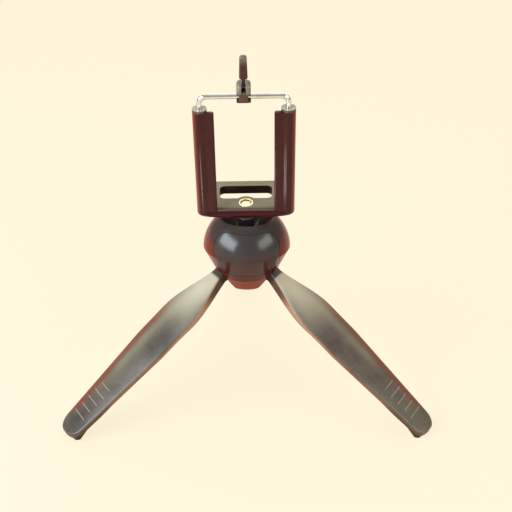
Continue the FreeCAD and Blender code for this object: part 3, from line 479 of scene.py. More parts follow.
# far is the side of a leg, along its axis across, that faces away from the front. The rear leg
# takes its painted highlight and sheen alike on both sides.
# The legs' marks paint light and shade: highlights at the root and along a streak, sheen on the far edge,
# reflections and shade on the skirts, shade at the hinge
for side, far in (("left", -1), ("right", 1), ("rear", 0)):
    joint = JOINTS[side + "_leg_fold"]
    made(side + "_leg_moulding", [leg_shell(), knuckle_shell()], side + "_leg", side + "_leg",
         leg_axes(joint), np.array(joint["pos_m"]) / MM, marks={
             "skirt": skirt_share, "tick": tick_share, "root": painted_root_highlight_share, "painted_skirt_shade": painted_skirt_shade_share,
             "painted_floor_reflection": painted_floor_reflection_share, "hinge": painted_hinge_shade_share,
             "streak": lambda points: painted_streak_highlight_share(points, far),
             "edge": lambda points: painted_edge_sheen_share(points, far)})

# Holder frame: two tubes with webs, joined by a bowed bar
TUBE_DISTANCE = 24.0
TUBE_SETBACK = 6.0
TUBE_RADIUS = 4.0
TUBE_BOTTOM = 28.7
TUBE_TOP = 95.9
WEB_INNER = 16.3
WEB_BACK = 6.9
WEB_FRONT = 9.3
WEB_BEAD = 0.8
SEAM_BLEND = 0.45
BAR_BOTTOM = 27.4
BAR_TOP = 32.0
BAR_BELLY = 10.2
BAR_CHAMFER = 0.6
BAR_TOE = 0.3
BAR_ROUNDING = 0.5
BAR_LIFT = 1.3
BAR_LIFT_POWER = 4
BAR_OVERLAP = 1.0
BAR_SECTIONS = 41

# A point inside both the tube and the web, and a reach that leaves them in every direction
ARM_MIDDLE = (21.0, -7.7)
ARM_REACH = 12.0
HALVINGS = 40

# The arm's upper edge is rolled in, and its foot swells out of the bar: (rise, pulled in by)
ARM_ROLL = 0.35
ARM_ROLL_START = 0.12
ARM_FOOT = ((2.0, 0.5), (2.5, 0.12), (3.2, 0.0))

# The tube's lower end: the first circle's angle from the pole, and a straight length into the arm
END_FIRST_ANGLE = 0.04
END_STRAIGHT = 6.0
END_POINTS = 48
END_RINGS = 12


def arm_outline(count=120):
    """Outline of the tube with its web, seen from above, as distances along rays from inside both.

    The distance field is the smaller of a circle's and a rounded box's, eased together where they
    meet, and each ray's crossing is found by halving.
    """
    angle = full_turn(count)
    ray = np.stack([np.cos(angle), np.sin(angle)], axis=1)
    near, far = np.zeros(count), np.full(count, ARM_REACH)
    half_web = (WEB_FRONT - WEB_BACK) / 2
    web_middle = np.array([(WEB_INNER + TUBE_DISTANCE) / 2, -(WEB_FRONT + WEB_BACK) / 2])
    web_half = np.array([(TUBE_DISTANCE - WEB_INNER) / 2, half_web])
    bead = half_web * WEB_BEAD
    for _ in range(HALVINGS):
        reach = (near + far) / 2
        point = ARM_MIDDLE + ray * reach[:, None]
        tube = np.hypot(point[:, 0] - TUBE_DISTANCE, point[:, 1] + TUBE_SETBACK) - TUBE_RADIUS
        out = np.abs(point - web_middle) - web_half + bead
        web = np.hypot(*np.maximum(out, 0).T) + np.minimum(out.max(axis=1), 0) - bead
        ease = np.clip(0.5 + 0.5 * (web - tube) / SEAM_BLEND, 0, 1)
        field = web + (tube - web) * ease - SEAM_BLEND * ease * (1 - ease)
        inside = field < 0
        near = np.where(inside, reach, near)
        far = np.where(inside, far, reach)
    return ARM_MIDDLE + ray * near[:, None]


def arm_shell(sign):
    """The arm's outline carried up from the bar to a top edge that is rolled in."""
    outline = arm_outline()
    middle = outline.mean(axis=0)
    inwards = (middle - outline) / np.linalg.norm(middle - outline, axis=1)[:, None]
    levels = [(BAR_BOTTOM + rise, inset) for rise, inset in ARM_FOOT]
    levels += [(TUBE_TOP - ARM_ROLL, 0.0), (TUBE_TOP - ARM_ROLL_START, ARM_ROLL_START), (TUBE_TOP, ARM_ROLL)]
    rings = []
    for height, inset in levels:
        ring = outline + inwards * inset
        rings.append(level_ring(sign * ring[:, 0], ring[:, 1], height))
    return tube_shell(rings)


def ball_end(sign):
    """The tube's round lower end: circles of a half sphere below a short straight length."""
    angle = full_turn(END_POINTS)
    centre_height = TUBE_BOTTOM + TUBE_RADIUS
    rings = []
    for fall in np.linspace(END_FIRST_ANGLE, np.pi / 2, END_RINGS):
        radius = TUBE_RADIUS * math.sin(fall)
        height = centre_height - TUBE_RADIUS * math.cos(fall)
        rings.append(level_ring(sign * TUBE_DISTANCE + radius * np.cos(angle),
                                -TUBE_SETBACK + radius * np.sin(angle), height))
    rings.append(rings[-1] + np.array([0, 0, END_STRAIGHT]))
    return tube_shell(rings)


def rounded_polygon(corners, radius, steps=6):
    """A polygon, anticlockwise, whose corners are eased by curves as wide as the radius's arcs.

    Each curve is a parabola from side to side, and takes at most just under half of a side.
    """
    corners = np.asarray(corners, float)
    most = 0.48
    points = []
    for here in range(len(corners)):
        before, corner, after = corners[here - 1], corners[here], corners[(here + 1) % len(corners)]
        back_length = np.linalg.norm(before - corner)
        forth_length = np.linalg.norm(after - corner)
        back = (before - corner) / back_length
        forth = (after - corner) / forth_length
        half = math.acos(np.clip(back @ forth, -1, 1)) / 2
        reach = min(radius / math.tan(half), back_length * most, forth_length * most)
        start, end = corner + back * reach, corner + forth * reach
        for share in np.linspace(0, 1, steps):
            first = start + (corner - start) * share
            second = corner + (end - corner) * share
            points.append(first + (second - first) * share)
    return np.array(points)


def bar_shell():
    """The bar at the foot: a bowed section carried across, lifted as it runs into the tubes."""
    section = rounded_polygon([
        (-WEB_BACK, BAR_BOTTOM + BAR_CHAMFER), (-WEB_BACK, BAR_TOP), (-WEB_FRONT, BAR_TOP),
        (-BAR_BELLY, (BAR_BOTTOM + BAR_TOP) / 2), (-WEB_FRONT + BAR_TOE, BAR_BOTTOM),
        (-WEB_BACK - BAR_CHAMFER, BAR_BOTTOM)], BAR_ROUNDING)
    half = TUBE_DISTANCE + BAR_OVERLAP
    rings = []
    for at in np.linspace(-half, half, BAR_SECTIONS):
        lift = BAR_LIFT * (abs(at) / half) ** BAR_LIFT_POWER
        ring = section.copy()
        share = np.clip((BAR_TOP - ring[:, 1]) / (BAR_TOP - BAR_BOTTOM), 0, 1)
        ring[:, 1] += lift * share
        rings.append(np.stack([np.full(len(ring), at), ring[:, 0], ring[:, 1]], axis=1))
    return tube_shell(rings)


def painted_flank_rim_share(points):
    """Painted rim light: 1 on the outer side of each tube, 0 from its middle inwards."""
    off_axis = (np.abs(points[:, 0]) - TUBE_DISTANCE) / TUBE_RADIUS
    return rising(off_axis, start=0.35, run=0.6)


made("holder_frame_moulding", [arm_shell(-1), arm_shell(1), ball_end(-1), ball_end(1), bar_shell()],
     "frame", "holder_frame", sharp=45.0, marks={"painted_flank_rim": painted_flank_rim_share})

# Camera screw and brass insert, with the 1/4 inch thread of tripods
THREAD_PITCH = 1.27
RINGS_PER_PITCH = 16
SCREW_RADIUS = 3.1
SCREW_START = 15.05
SCREW_END = 31.0
SCREW_THREAD_DEPTH = 0.55
INSERT_RADIUS = 4.4
INSERT_BORE = 3.2
INSERT_THREAD_DEPTH = 0.45
INSERT_CHAMFER = 0.3
INSERT_LOWER_CHAMFER = 0.2
INSERT_UPPER_CHAMFER = 0.25
BAND_INSET = 0.05
BAND_END = 0.6
KNURL_START = 0.7
KNURL_DEPTH = 0.12
KNURL_RIDGES = 40
PLATE_BOTTOM = 26.4
PLATE_TOP = 31.8


def thread_rings(radius, depth, low, high, around, in_a_bore=False):
    """Rings up a thread: the radius follows a V each pitch, and the V climbs one pitch each turn.

    On a screw the V cuts in and both ends are tapered over one pitch, in a bore it cuts out.
    """
    height = np.linspace(low, high, int((high - low) / THREAD_PITCH * RINGS_PER_PITCH) + 1)[:, None]
    angle = full_turn(around)[None, :]
    phase = (height / THREAD_PITCH - angle / (2 * np.pi)) % 1.0
    groove = np.abs(phase - 0.5) * 2
    lead = np.clip(np.minimum(height - low, high - height) / THREAD_PITCH, 0, 1)
    if in_a_bore:
        out = radius + depth * groove * lead
    else:
        out = radius - depth * np.maximum(groove, 1 - lead)
    return np.stack([out * np.cos(angle), out * np.sin(angle), height * np.ones_like(angle)], axis=-1)


def insert_shell():
    """Rings up the threaded bore, over the chamfered top, down the knurl and back underneath.

    Between its plain bands the knurl is a row of half waves cut into the radius.
    """
    around = 96
    angle = full_turn(around)
    mouth = INSERT_BORE + INSERT_CHAMFER + BAND_INSET
    shoulder = INSERT_RADIUS - INSERT_CHAMFER
    band = INSERT_RADIUS - BAND_INSET
    knurl = KNURL_DEPTH * np.abs(np.sin(angle * KNURL_RIDGES / 2))
    rings = list(thread_rings(INSERT_BORE, INSERT_THREAD_DEPTH, PLATE_BOTTOM + INSERT_CHAMFER,
                              PLATE_TOP - INSERT_CHAMFER, around, in_a_bore=True))
    for radius, height, cut in (
            (mouth, PLATE_TOP, 0), (shoulder, PLATE_TOP, 0), (band, PLATE_TOP - INSERT_UPPER_CHAMFER, 0),
            (band, PLATE_TOP - BAND_END, 0), (INSERT_RADIUS, PLATE_TOP - KNURL_START, 1),
            (INSERT_RADIUS, PLATE_BOTTOM + KNURL_START, 1), (band, PLATE_BOTTOM + INSERT_LOWER_CHAMFER, 0),
            (shoulder, PLATE_BOTTOM, 0), (mouth, PLATE_BOTTOM, 0)):
        out = radius - knurl * cut
        rings.append(level_ring(out * np.cos(angle), out * np.sin(angle), height))
    return tube_shell(rings, closed_path=True)


made("camera_screw_thread",
     [tube_shell(thread_rings(SCREW_RADIUS, SCREW_THREAD_DEPTH, SCREW_START, SCREW_END, around=72))],
     "ball", "camera_screw", sharp=25.0)
made("brass_insert_thread", [insert_shell()], "plate", "brass_insert", sharp=30.0)

# Clip block: two ears with round shoulders on a core, notched for the wire, with the jaw's pin
CLIP_HALF = 3.85
CLIP_FRONT = -9.4
CLIP_BACK = -2.6
CLIP_BOTTOM = 101.7
CORE_HALF = 2.55
CORE_TOP_INSET = 0.3
CORE_FOOT_INSET = 0.05
CORE_ROUNDING = 0.7
CORE_EDGE = 0.1
WIRE_HEIGHT = 104.4
NOTCH_RADIUS = 1.7
NOTCH_HALF = 1.8
SLOT_BOTTOM = 107.45
SLOT_HALF = 1.3
EAR_SHOULDER = 108.0
EAR_TOP = 113.0
EAR_NOSE = 4.6
EAR_BACK_RADII = (2.85, 3.0)
EAR_SLOT_EDGE = 0.2
EAR_EDGE = 0.35
EAR_ROUNDING = 1.6
JAW_PIN = (-4.5, 110.0)

# The ear's lower corners: a chamfer at the back, and points (in from the front, up) of its toe
EAR_HEEL = 0.5
EAR_TOE = ((0.9, 0.0), (0.25, 0.25), (0.0, 0.7))

# Jaw: a finger with a hook below its tip, on a flat tongue
JAW_LOW = 113.7
JAW_HIGH = 127.4
JAW_HALF_FOOT = 2.33
JAW_TAPER = 0.4
JAW_HALF_THICK = 1.3
JAW_TIP_DOME = 1.6
JAW_FOOT_DOME = 1.3
JAW_SQUARENESS = 0.45
JAW_END_ANGLE = 0.02
JAW_RINGS = 48
JAW_POINTS = 40
HOOK_HEIGHT = 124.6
HOOK_HALF_LENGTH = 2.6
HOOK_BULGE = 0.7

# The shares of the jaw's width and thickness that are left where its domes end
TIP_WIDTH_LEFT = 0.35
TIP_THICKNESS_LEFT = 0.25
FOOT_WIDTH_LEFT = 0.45
FOOT_THICKNESS_LEFT = 0.5
LEAST_DOME = 0.003

# The tongue's eye, half its thickness, its edge, and its neck as (half width, height)
TONGUE_EYE = 2.4
TONGUE_HALF = 1.15
TONGUE_EDGE = 0.2
TONGUE_NECK = ((1.2, 112.4), (1.0, 115.0))


def across_the_holder(shell):
    """Turns a slab that is carried along Y so that it is carried along X, its plan in Y and Z."""
    points, faces = shell
    return points[:, [1, 0, 2]], faces


def ear_shell(sign):
    """One ear: the side view with its quarter-round nose and wire notch, rounded off outside."""
    nose = arc_points((CLIP_FRONT + EAR_NOSE, EAR_SHOULDER), (EAR_NOSE, EAR_TOP - EAR_SHOULDER),
                      180, 90, count=14)
    shoulder = arc_points(JAW_PIN, EAR_BACK_RADII, 70, 10, count=6)
    back = [(CLIP_BACK, EAR_SHOULDER), (CLIP_BACK, CLIP_BOTTOM + EAR_HEEL),
            (CLIP_BACK - EAR_HEEL, CLIP_BOTTOM)]
    toe = [(CLIP_FRONT + inwards, CLIP_BOTTOM + up) for inwards, up in EAR_TOE]
    notch = arc_points((-TUBE_SETBACK, WIRE_HEIGHT), (NOTCH_RADIUS, NOTCH_RADIUS), -60, 60, count=9)
    mouth_low = [(CLIP_FRONT, WIRE_HEIGHT - NOTCH_HALF)]
    mouth_high = [(CLIP_FRONT, WIRE_HEIGHT + NOTCH_HALF)]
    outline = np.concatenate([nose, shoulder, back, toe, mouth_low, notch, mouth_high])[::-1]
    outer_edge = EAR_EDGE + EAR_ROUNDING * rising(outline[:, 1], start=107.0, run=2.5)
    if sign > 0:
        return across_the_holder(slab(outline, SLOT_HALF, CLIP_HALF, EAR_SLOT_EDGE, outer_edge, steps=8))
    return across_the_holder(slab(outline, -CLIP_HALF, -SLOT_HALF, outer_edge, EAR_SLOT_EDGE, steps=8))


def clip_core():
    """The block between the ears, up to the slot's floor, seen from the side with round corners."""
    corners = [(CLIP_BACK, CLIP_BOTTOM), (CLIP_BACK, SLOT_BOTTOM), (CLIP_FRONT + CORE_TOP_INSET, SLOT_BOTTOM),
               (CLIP_FRONT + CORE_FOOT_INSET, CLIP_BOTTOM)]
    return across_the_holder(slab(rounded_polygon(corners, CORE_ROUNDING), -CORE_HALF, CORE_HALF,
                                  CORE_EDGE, CORE_EDGE))


def dome_share(into, depth):
    """A quarter ellipse: 1 before the dome, falling to nearly 0 at its depth."""
    return math.sqrt(max(1 - max(into, 0.0) ** 2 / depth ** 2, LEAST_DOME))


def drawn_in(share, left):
    """The share of a size that a dome leaves: all of it before the dome, the given part at its end."""
    return left + (1 - left) * share


def jaw_shell():
    """The jaw's finger: rounded boxes stacked along its height, drawn in to a dome at both ends.

    Each box is a superellipse. Below the tip the boxes thicken towards the phone by half a
    cosine wave, which makes the hook.
    """
    closer_at_ends = np.cos(np.linspace(JAW_END_ANGLE, np.pi - JAW_END_ANGLE, JAW_RINGS))
    height = JAW_LOW + (JAW_HIGH - JAW_LOW) * (1 - closer_at_ends) / 2
    angle = full_turn(JAW_POINTS)
    box_x = np.sign(np.cos(angle)) * np.abs(np.cos(angle)) ** JAW_SQUARENESS
    box_y = np.sign(np.sin(angle)) * np.abs(np.sin(angle)) ** JAW_SQUARENESS
    rings = []
    for at in height:
        top = dome_share(at - (JAW_HIGH - JAW_TIP_DOME), JAW_TIP_DOME)
        bottom = dome_share(JAW_LOW + JAW_FOOT_DOME - at, JAW_FOOT_DOME)
        up = (at - JAW_LOW) / (JAW_HIGH - JAW_LOW)
        half_x = JAW_HALF_FOOT - JAW_TAPER * up
        half_x *= drawn_in(top, TIP_WIDTH_LEFT) * drawn_in(bottom, FOOT_WIDTH_LEFT)
        half_y = JAW_HALF_THICK * drawn_in(top, TIP_THICKNESS_LEFT) * drawn_in(bottom, FOOT_THICKNESS_LEFT)
        off_hook = np.clip((at - HOOK_HEIGHT) / HOOK_HALF_LENGTH, -1, 1)
        hook = HOOK_BULGE * (1 + math.cos(np.pi * off_hook))
        rings.append(level_ring(half_x * box_x, JAW_PIN[0] + (half_y + hook * (box_y > 0)) * box_y, at))
    return tube_shell(rings)


def jaw_tongue():
    """The jaw's tongue: an eye round its pin and a neck up into the finger."""
    eye = arc_points(JAW_PIN, (TONGUE_EYE, TONGUE_EYE), 150, 390, count=30)
    neck = [(JAW_PIN[0] + half, height) for half, height in TONGUE_NECK]
    neck += [(JAW_PIN[0] - half, height) for half, height in reversed(TONGUE_NECK)]
    return across_the_holder(slab(np.concatenate([eye, neck]), -TONGUE_HALF, TONGUE_HALF,
                                  TONGUE_EDGE, TONGUE_EDGE))


def painted_ear_highlight_share(points):
    """Painted highlight: 1 on the clip's ears above the wire, 0 on its lower half."""
    return rising(points[:, 2], start=106.6, run=1.2)


made("clip_block_moulding", [ear_shell(-1), ear_shell(1), clip_core()], "clip", "clip_body",
     marks={"painted_ear_highlight": painted_ear_highlight_share})
made("jaw_moulding", [jaw_shell(), jaw_tongue()], "jaw", "clip_jaw")

# Springs: a pair in the holder's tubes round the wire's ends, and one under the brake shoe
SPRING_RADIUS = 2.08
SPRING_WIRE = 0.42
SPRING_LOW = 41.0
SPRING_HIGH = 91.9
SPRING_TURNS = 12
BRAKE_SPRING_RADIUS = 6.5
BRAKE_SPRING_WIRE = 0.45
BRAKE_SPRING_LOW = -20.4
BRAKE_SPRING_HIGH = -13.5
BRAKE_SPRING_TURNS = 5


def coil(centre, radius, wire, low, high, turns, section=10, per_turn=36):
    """A closed-and-ground spring: a helix of round wire whose first and last turns lie flat."""
    turn = np.linspace(0, turns, int(turns * per_turn) + 1)
    dead = 1.0
    share = np.clip((turn - dead) / (turns - 2 * dead), 0, 1)
    ends = np.clip(turn, 0, dead) + np.clip(turn - (turns - dead), 0, dead)
    height = low + wire + ends * 2 * wire + share * (high - low - 2 * wire - 4 * wire * dead)
    angle = 2 * np.pi * turn
    outward = np.stack([np.cos(angle), np.sin(angle), np.zeros_like(angle)], axis=1)
    path = outward * radius + np.stack([np.zeros_like(angle), np.zeros_like(angle), height], axis=1)
    path += np.array([centre[0], centre[1], 0.0])
    round_wire = full_turn(section)
    rings = (path[:, None, :] + outward[:, None, :] * (wire * np.cos(round_wire))[None, :, None]
             + np.array([0, 0, 1.0]) * (wire * np.sin(round_wire))[None, :, None])
    return tube_shell(rings)


springs = [coil((sign * TUBE_DISTANCE, -TUBE_SETBACK), SPRING_RADIUS, SPRING_WIRE, SPRING_LOW, SPRING_HIGH,
                SPRING_TURNS) for sign in (-1, 1)]
plunger_coils = made("plunger_coils", springs, "wire", "plunger_springs", sharp=60.0)
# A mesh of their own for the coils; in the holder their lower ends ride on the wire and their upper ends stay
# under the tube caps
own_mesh(plunger_coils)

brake_springs = [coil((0, 0), BRAKE_SPRING_RADIUS, BRAKE_SPRING_WIRE, BRAKE_SPRING_LOW, BRAKE_SPRING_HIGH,
                      BRAKE_SPRING_TURNS)]
brake_coil = made("brake_coil", brake_springs, "brake", "brake_spring", UPRIGHT, BALL, sharp=60.0)
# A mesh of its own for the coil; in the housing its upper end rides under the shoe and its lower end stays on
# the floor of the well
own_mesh(brake_coil)


def linear(hex_code):
    """The linear colour of an sRGB hex value."""
    parts = np.array([int(hex_code[place:place + 2], 16) for place in (1, 3, 5)]) / 255.0
    low = parts / 12.92
    high = ((parts + 0.055) / 1.055) ** 2.4
    return (*np.where(parts <= 0.04045, low, high).tolist(), 1.0)


def add(tree, kind, values=None, links=None, **settings):
    """Adds a node to a tree, with its settings, its sockets' values and what feeds its sockets."""
    node = tree.nodes.new(kind)
    for name, value in settings.items():
        setattr(node, name, value)
    for socket, value in (values or {}).items():
        node.inputs[socket].default_value = value
    for socket, source in (links or {}).items():
        tree.links.new(source, node.inputs[socket])
    return node


def new_material(name):
    """An empty material with its output node."""
    material = bpy.data.materials.new(name)
    material.use_nodes = True
    material.node_tree.nodes.clear()
    return material, material.node_tree, add(material.node_tree, "ShaderNodeOutputMaterial")


# Sockets of a mix node that mixes two colours
MIX_SHARE = 0
MIX_FIRST = 6
MIX_SECOND = 7
MIX_COLOUR = 2

# How strongly the speckle of a plastic counts beside its clouds
SPECKLE_SHARE = 0.5


def surfaced(tree, output, here, clouds, colour, roughness, spread, grain_mm, bump_mm, values):
    """A shader of the colour, its roughness spread by the clouds, over a grain raised by bump_mm."""
    gloss = add(tree, "ShaderNodeMapRange", {"From Min": 0.3, "From Max": 0.7, "To Min": roughness - spread,
                                             "To Max": roughness + spread}, {"Value": clouds.outputs["Fac"]})
    grain = add(tree, "ShaderNodeTexNoise", {"Scale": 1.0 / (grain_mm * MM), "Detail": 2.0}, {"Vector": here})
    raised = add(tree, "ShaderNodeBump", {"Strength": 1.0, "Distance": bump_mm * MM},
                 {"Height": grain.outputs["Fac"]})
    shader = add(tree, "ShaderNodeBsdfPrincipled", values,
                 {"Base Color": colour.outputs[MIX_COLOUR], "Roughness": gloss.outputs[0],
                  "Normal": raised.outputs[0]})
    tree.links.new(shader.outputs[0], output.inputs["Surface"])


def moulded_plastic(name, dark, light, cloud_mm, speckle_mm, roughness, spread, grain_mm, bump_mm,
                    sheen=0.0, sheen_hex="#c0502a", sheen_roughness=0.25, ior=1.45, fade=None, top=None,
                    marked=()):
    """Moulded thermoplastic: cloudy colour, fine speckle, uneven gloss and a fine surface grain.

    fade is (hex, height, depth): the colour turns to hex over the depth above that height, in mm.
    top is (hex, start, full): painted light, the colour turns to hex where the surface faces up, between two
    values of its normal's height.
    marked is a list of (attribute, hex, share): the colour turns to hex where the attribute is 1.
    """
    material, tree, output = new_material(name)
    here = add(tree, "ShaderNodeTexCoord").outputs["Object"]
    clouds = add(tree, "ShaderNodeTexNoise",
                 {"Scale": 1.0 / (cloud_mm * MM), "Detail": 5.0, "Roughness": 0.6}, {"Vector": here})
    speckle = add(tree, "ShaderNodeTexNoise", {"Scale": 1.0 / (speckle_mm * MM), "Detail": 3.0},
                  {"Vector": here})
    patchy = add(tree, "ShaderNodeMath", {1: SPECKLE_SHARE},
                 {0: speckle.outputs["Fac"], 2: clouds.outputs["Fac"]}, operation="MULTIPLY_ADD")
    lighter = add(tree, "ShaderNodeMapRange", {"From Min": 0.55, "From Max": 0.95},
                  {"Value": patchy.outputs[0]})
    colour = add(tree, "ShaderNodeMix", {MIX_FIRST: linear(dark), MIX_SECOND: linear(light)},
                 {MIX_SHARE: lighter.outputs[0]}, data_type="RGBA")

    layers = []
    if fade:
        fade_hex, height, depth = fade
        place = add(tree, "ShaderNodeSeparateXYZ", links={0: here})
        lower = add(tree, "ShaderNodeMapRange", {"From Min": (height + depth) * MM, "From Max": height * MM},
                    {"Value": place.outputs["Z"]}, interpolation_type="SMOOTHSTEP")
        layers.append((fade_hex, lower.outputs[0]))
    # Painted light: faces that point up take the top colour
    if top:
        top_hex, start, full = top
        normal = add(tree, "ShaderNodeTexCoord").outputs["Normal"]
        facing = add(tree, "ShaderNodeSeparateXYZ", links={0: normal})
        upward = add(tree, "ShaderNodeMapRange", {"From Min": start, "From Max": full},
                     {"Value": facing.outputs["Z"]}, interpolation_type="SMOOTHSTEP")
        layers.append((top_hex, upward.outputs[0]))
    for mark, mark_hex, share in marked:
        where = add(tree, "ShaderNodeAttribute", attribute_name=mark)
        amount = add(tree, "ShaderNodeMath", {1: share}, {0: where.outputs["Fac"]}, operation="MULTIPLY")
        layers.append((mark_hex, amount.outputs[0]))
    for layer_hex, share_of in layers:
        colour = add(tree, "ShaderNodeMix", {MIX_SECOND: linear(layer_hex)},
                     {MIX_SHARE: share_of, MIX_FIRST: colour.outputs[MIX_COLOUR]}, data_type="RGBA")
    surfaced(tree, output, here, clouds, colour, roughness, spread, grain_mm, bump_mm,
             {"IOR": ior, "Sheen Weight": sheen, "Sheen Roughness": sheen_roughness,
              "Sheen Tint": linear(sheen_hex)})
    return material


def metal(name, base, dull, cloud_mm, roughness, spread, grain_mm, bump_mm):
    """Bare or plated metal: patches of dulled colour and uneven gloss, with a fine grain."""
    material, tree, output = new_material(name)
    here = add(tree, "ShaderNodeTexCoord").outputs["Object"]
    clouds = add(tree, "ShaderNodeTexNoise", {"Scale": 1.0 / (cloud_mm * MM), "Detail": 4.0},
                 {"Vector": here})
    duller = add(tree, "ShaderNodeMapRange", {"From Min": 0.35, "From Max": 0.7},
                 {"Value": clouds.outputs["Fac"]})
    colour = add(tree, "ShaderNodeMix", {MIX_FIRST: linear(base), MIX_SECOND: linear(dull)},
                 {MIX_SHARE: duller.outputs[0]}, data_type="RGBA")
    surfaced(tree, output, here, clouds, colour, roughness, spread, grain_mm, bump_mm, {"Metallic": 1.0})
    return material


# ABS, injection moulded in a polished tool: glossy, red-brown, with a painted grey reflection of the ceiling
# on top
SHELL_ABS = moulded_plastic(
    "gloss_moulded_abs", "#520f02", "#621905", cloud_mm=9.0, speckle_mm=0.5, roughness=0.24, spread=0.05,
    grain_mm=0.35, bump_mm=0.01, sheen=0.8, sheen_hex="#f24a0e", sheen_roughness=0.3, ior=1.3,
    top=("#332d2a", 0.15, 0.6))
# ABS of the button: the same polish, darker, with a painted grey reflection of the ceiling over most of its
# face
BUTTON_ABS = moulded_plastic(
    "gloss_moulded_abs_button", "#2c0c0a", "#381512", cloud_mm=9.0, speckle_mm=0.5, roughness=0.22,
    spread=0.05, grain_mm=0.35, bump_mm=0.01, sheen=0.2, sheen_hex="#b0482c", ior=1.42,
    top=("#322c2c", -0.1, 0.35))
# ABS of the lower shell: the same moulding grade, with no painted top reflection because it faces down
LOWER_ABS = moulded_plastic(
    "gloss_moulded_abs_lower", "#33100d", "#401814", cloud_mm=9.0, speckle_mm=0.5, roughness=0.24,
    spread=0.05, grain_mm=0.35, bump_mm=0.01, sheen=0.7, sheen_hex="#f0561e", sheen_roughness=0.3, ior=1.34)
# ABS of the bottom cap: orange-brown, as painted warm light bounced up from the floor
CAP_ABS = moulded_plastic(
    "gloss_moulded_abs_cap", "#66200e", "#772f18", cloud_mm=8.0, speckle_mm=0.5, roughness=0.3, spread=0.05,
    grain_mm=0.35, bump_mm=0.01, sheen=0.5, sheen_hex="#f0602a", ior=1.34)
# Glass-filled nylon of the legs: satin, warm grey, with painted highlights at the root and along a streak,
# painted reflections and shade on the skirts, painted sheen along the far edge, and worn ticks
LEG_NYLON = moulded_plastic(
    "satin_moulded_nylon", "#3a342e", "#625a50", cloud_mm=26.0, speckle_mm=0.8, roughness=0.4, spread=0.05,
    grain_mm=0.3, bump_mm=0.012, sheen=0.25, sheen_hex="#e0763f", sheen_roughness=0.4,
    marked=(("streak", "#857e6a", 0.42), ("edge", "#6a2e18", 0.85), ("root", "#b3aa93", 0.92),
            ("skirt", "#7e4a34", 0.92), ("painted_floor_reflection", "#9c7257", 0.8), ("painted_skirt_shade", "#33201a", 0.8),
            ("hinge", "#21130f", 0.95), ("tick", "#a9a392", 0.6)))
# ABS of the holder's frame: dark maroon-brown with a wet gloss, with painted orange rim light along the
# tubes' outer sides
FRAME_ABS = moulded_plastic(
    "gloss_moulded_abs_frame", "#2c090a", "#360e0f", cloud_mm=12.0, speckle_mm=0.5, roughness=0.18,
    spread=0.04, grain_mm=0.35, bump_mm=0.008, sheen=0.6, sheen_hex="#ff4a18", ior=1.33,
    marked=(("painted_flank_rim", "#7c301c", 0.72),))
# Satin ABS of the base plate: black-brown, with painted light making its upward faces pale
PLATE_ABS = moulded_plastic(
    "satin_moulded_abs_plate", "#211614", "#2c1d19", cloud_mm=5.0, speckle_mm=0.4, roughness=0.38,
    spread=0.08, grain_mm=0.4, bump_mm=0.02, ior=1.36, top=("#70654a", 0.45, 0.9))
# Satin ABS of the clip: brown, with a painted highlight over its ears
CLIP_ABS = moulded_plastic(
    "satin_moulded_abs_clip", "#331b17", "#432923", cloud_mm=3.0, speckle_mm=0.3, roughness=0.34,
    spread=0.06, grain_mm=0.3, bump_mm=0.012, sheen=0.4, sheen_hex="#b04a30",
    marked=(("painted_ear_highlight", "#6e6556", 0.92),))
# Satin ABS of the jaw: maroon, with a painted highlight making the tip pale
JAW_ABS = moulded_plastic(
    "satin_moulded_abs_jaw", "#6c6051", "#544a3f", cloud_mm=3.0, speckle_mm=0.3, roughness=0.3, spread=0.06,
    grain_mm=0.3, bump_mm=0.012, sheen=0.4, fade=("#36100f", 211.5, 6.0))
# Nylon of the ball: smooth and nearly black
BALL_NYLON = moulded_plastic(
    "polished_nylon", "#1d1b1b", "#262323", cloud_mm=4.0, speckle_mm=0.4, roughness=0.2, spread=0.04,
    grain_mm=0.3, bump_mm=0.006)
# Nylon of the flange on its stem: the same, with a painted highlight on its upward faces
FLANGE_NYLON = moulded_plastic(
    "polished_nylon_flange", "#1d1b1b", "#262323", cloud_mm=4.0, speckle_mm=0.4, roughness=0.22,
    spread=0.04, grain_mm=0.3, bump_mm=0.006, top=("#8a8680", 0.5, 0.95))
# Acetal of the seat and the brake shoe: natural white, waxy
ACETAL = moulded_plastic(
    "turned_acetal", "#d6d2c6", "#e2dfd4", cloud_mm=4.0, speckle_mm=0.5, roughness=0.33, spread=0.04,
    grain_mm=0.3, bump_mm=0.006)
# Rubber of the pads: matt, brown-black, bloomed a little
RUBBER = moulded_plastic(
    "moulded_rubber", "#251711", "#35231b", cloud_mm=3.0, speckle_mm=0.3, roughness=0.6, spread=0.06,
    grain_mm=0.25, bump_mm=0.03, sheen=0.3, sheen_hex="#a05a40")
# Satin ABS of the caps in the tube tops: with painted light making them pale on top
TUBE_CAP_ABS = moulded_plastic(
    "satin_moulded_abs_plug", "#3a2a26", "#4c3a33", cloud_mm=2.0, speckle_mm=0.3, roughness=0.3, spread=0.06,
    grain_mm=0.3, bump_mm=0.01, top=("#8f8574", 0.3, 0.9))
# Chrome plate on drawn steel: mirror bright, hardly clouded
CHROME = metal("bright_chrome_plate", "#e9e8e6", "#d3d2d0", cloud_mm=4.0, roughness=0.07, spread=0.03,
               grain_mm=0.4, bump_mm=0.002)
# Zinc plate on steel: greyer, softly blurred
ZINC = metal("zinc_plated_steel", "#c3c3bf", "#a3a29d", cloud_mm=2.0, roughness=0.28, spread=0.05,
             grain_mm=0.25, bump_mm=0.006)
# Spring steel: drawn wire, slightly dark
SPRING = metal("drawn_spring_steel", "#a9a8a5", "#8a8985", cloud_mm=2.0, roughness=0.25, spread=0.05,
               grain_mm=0.3, bump_mm=0.004)
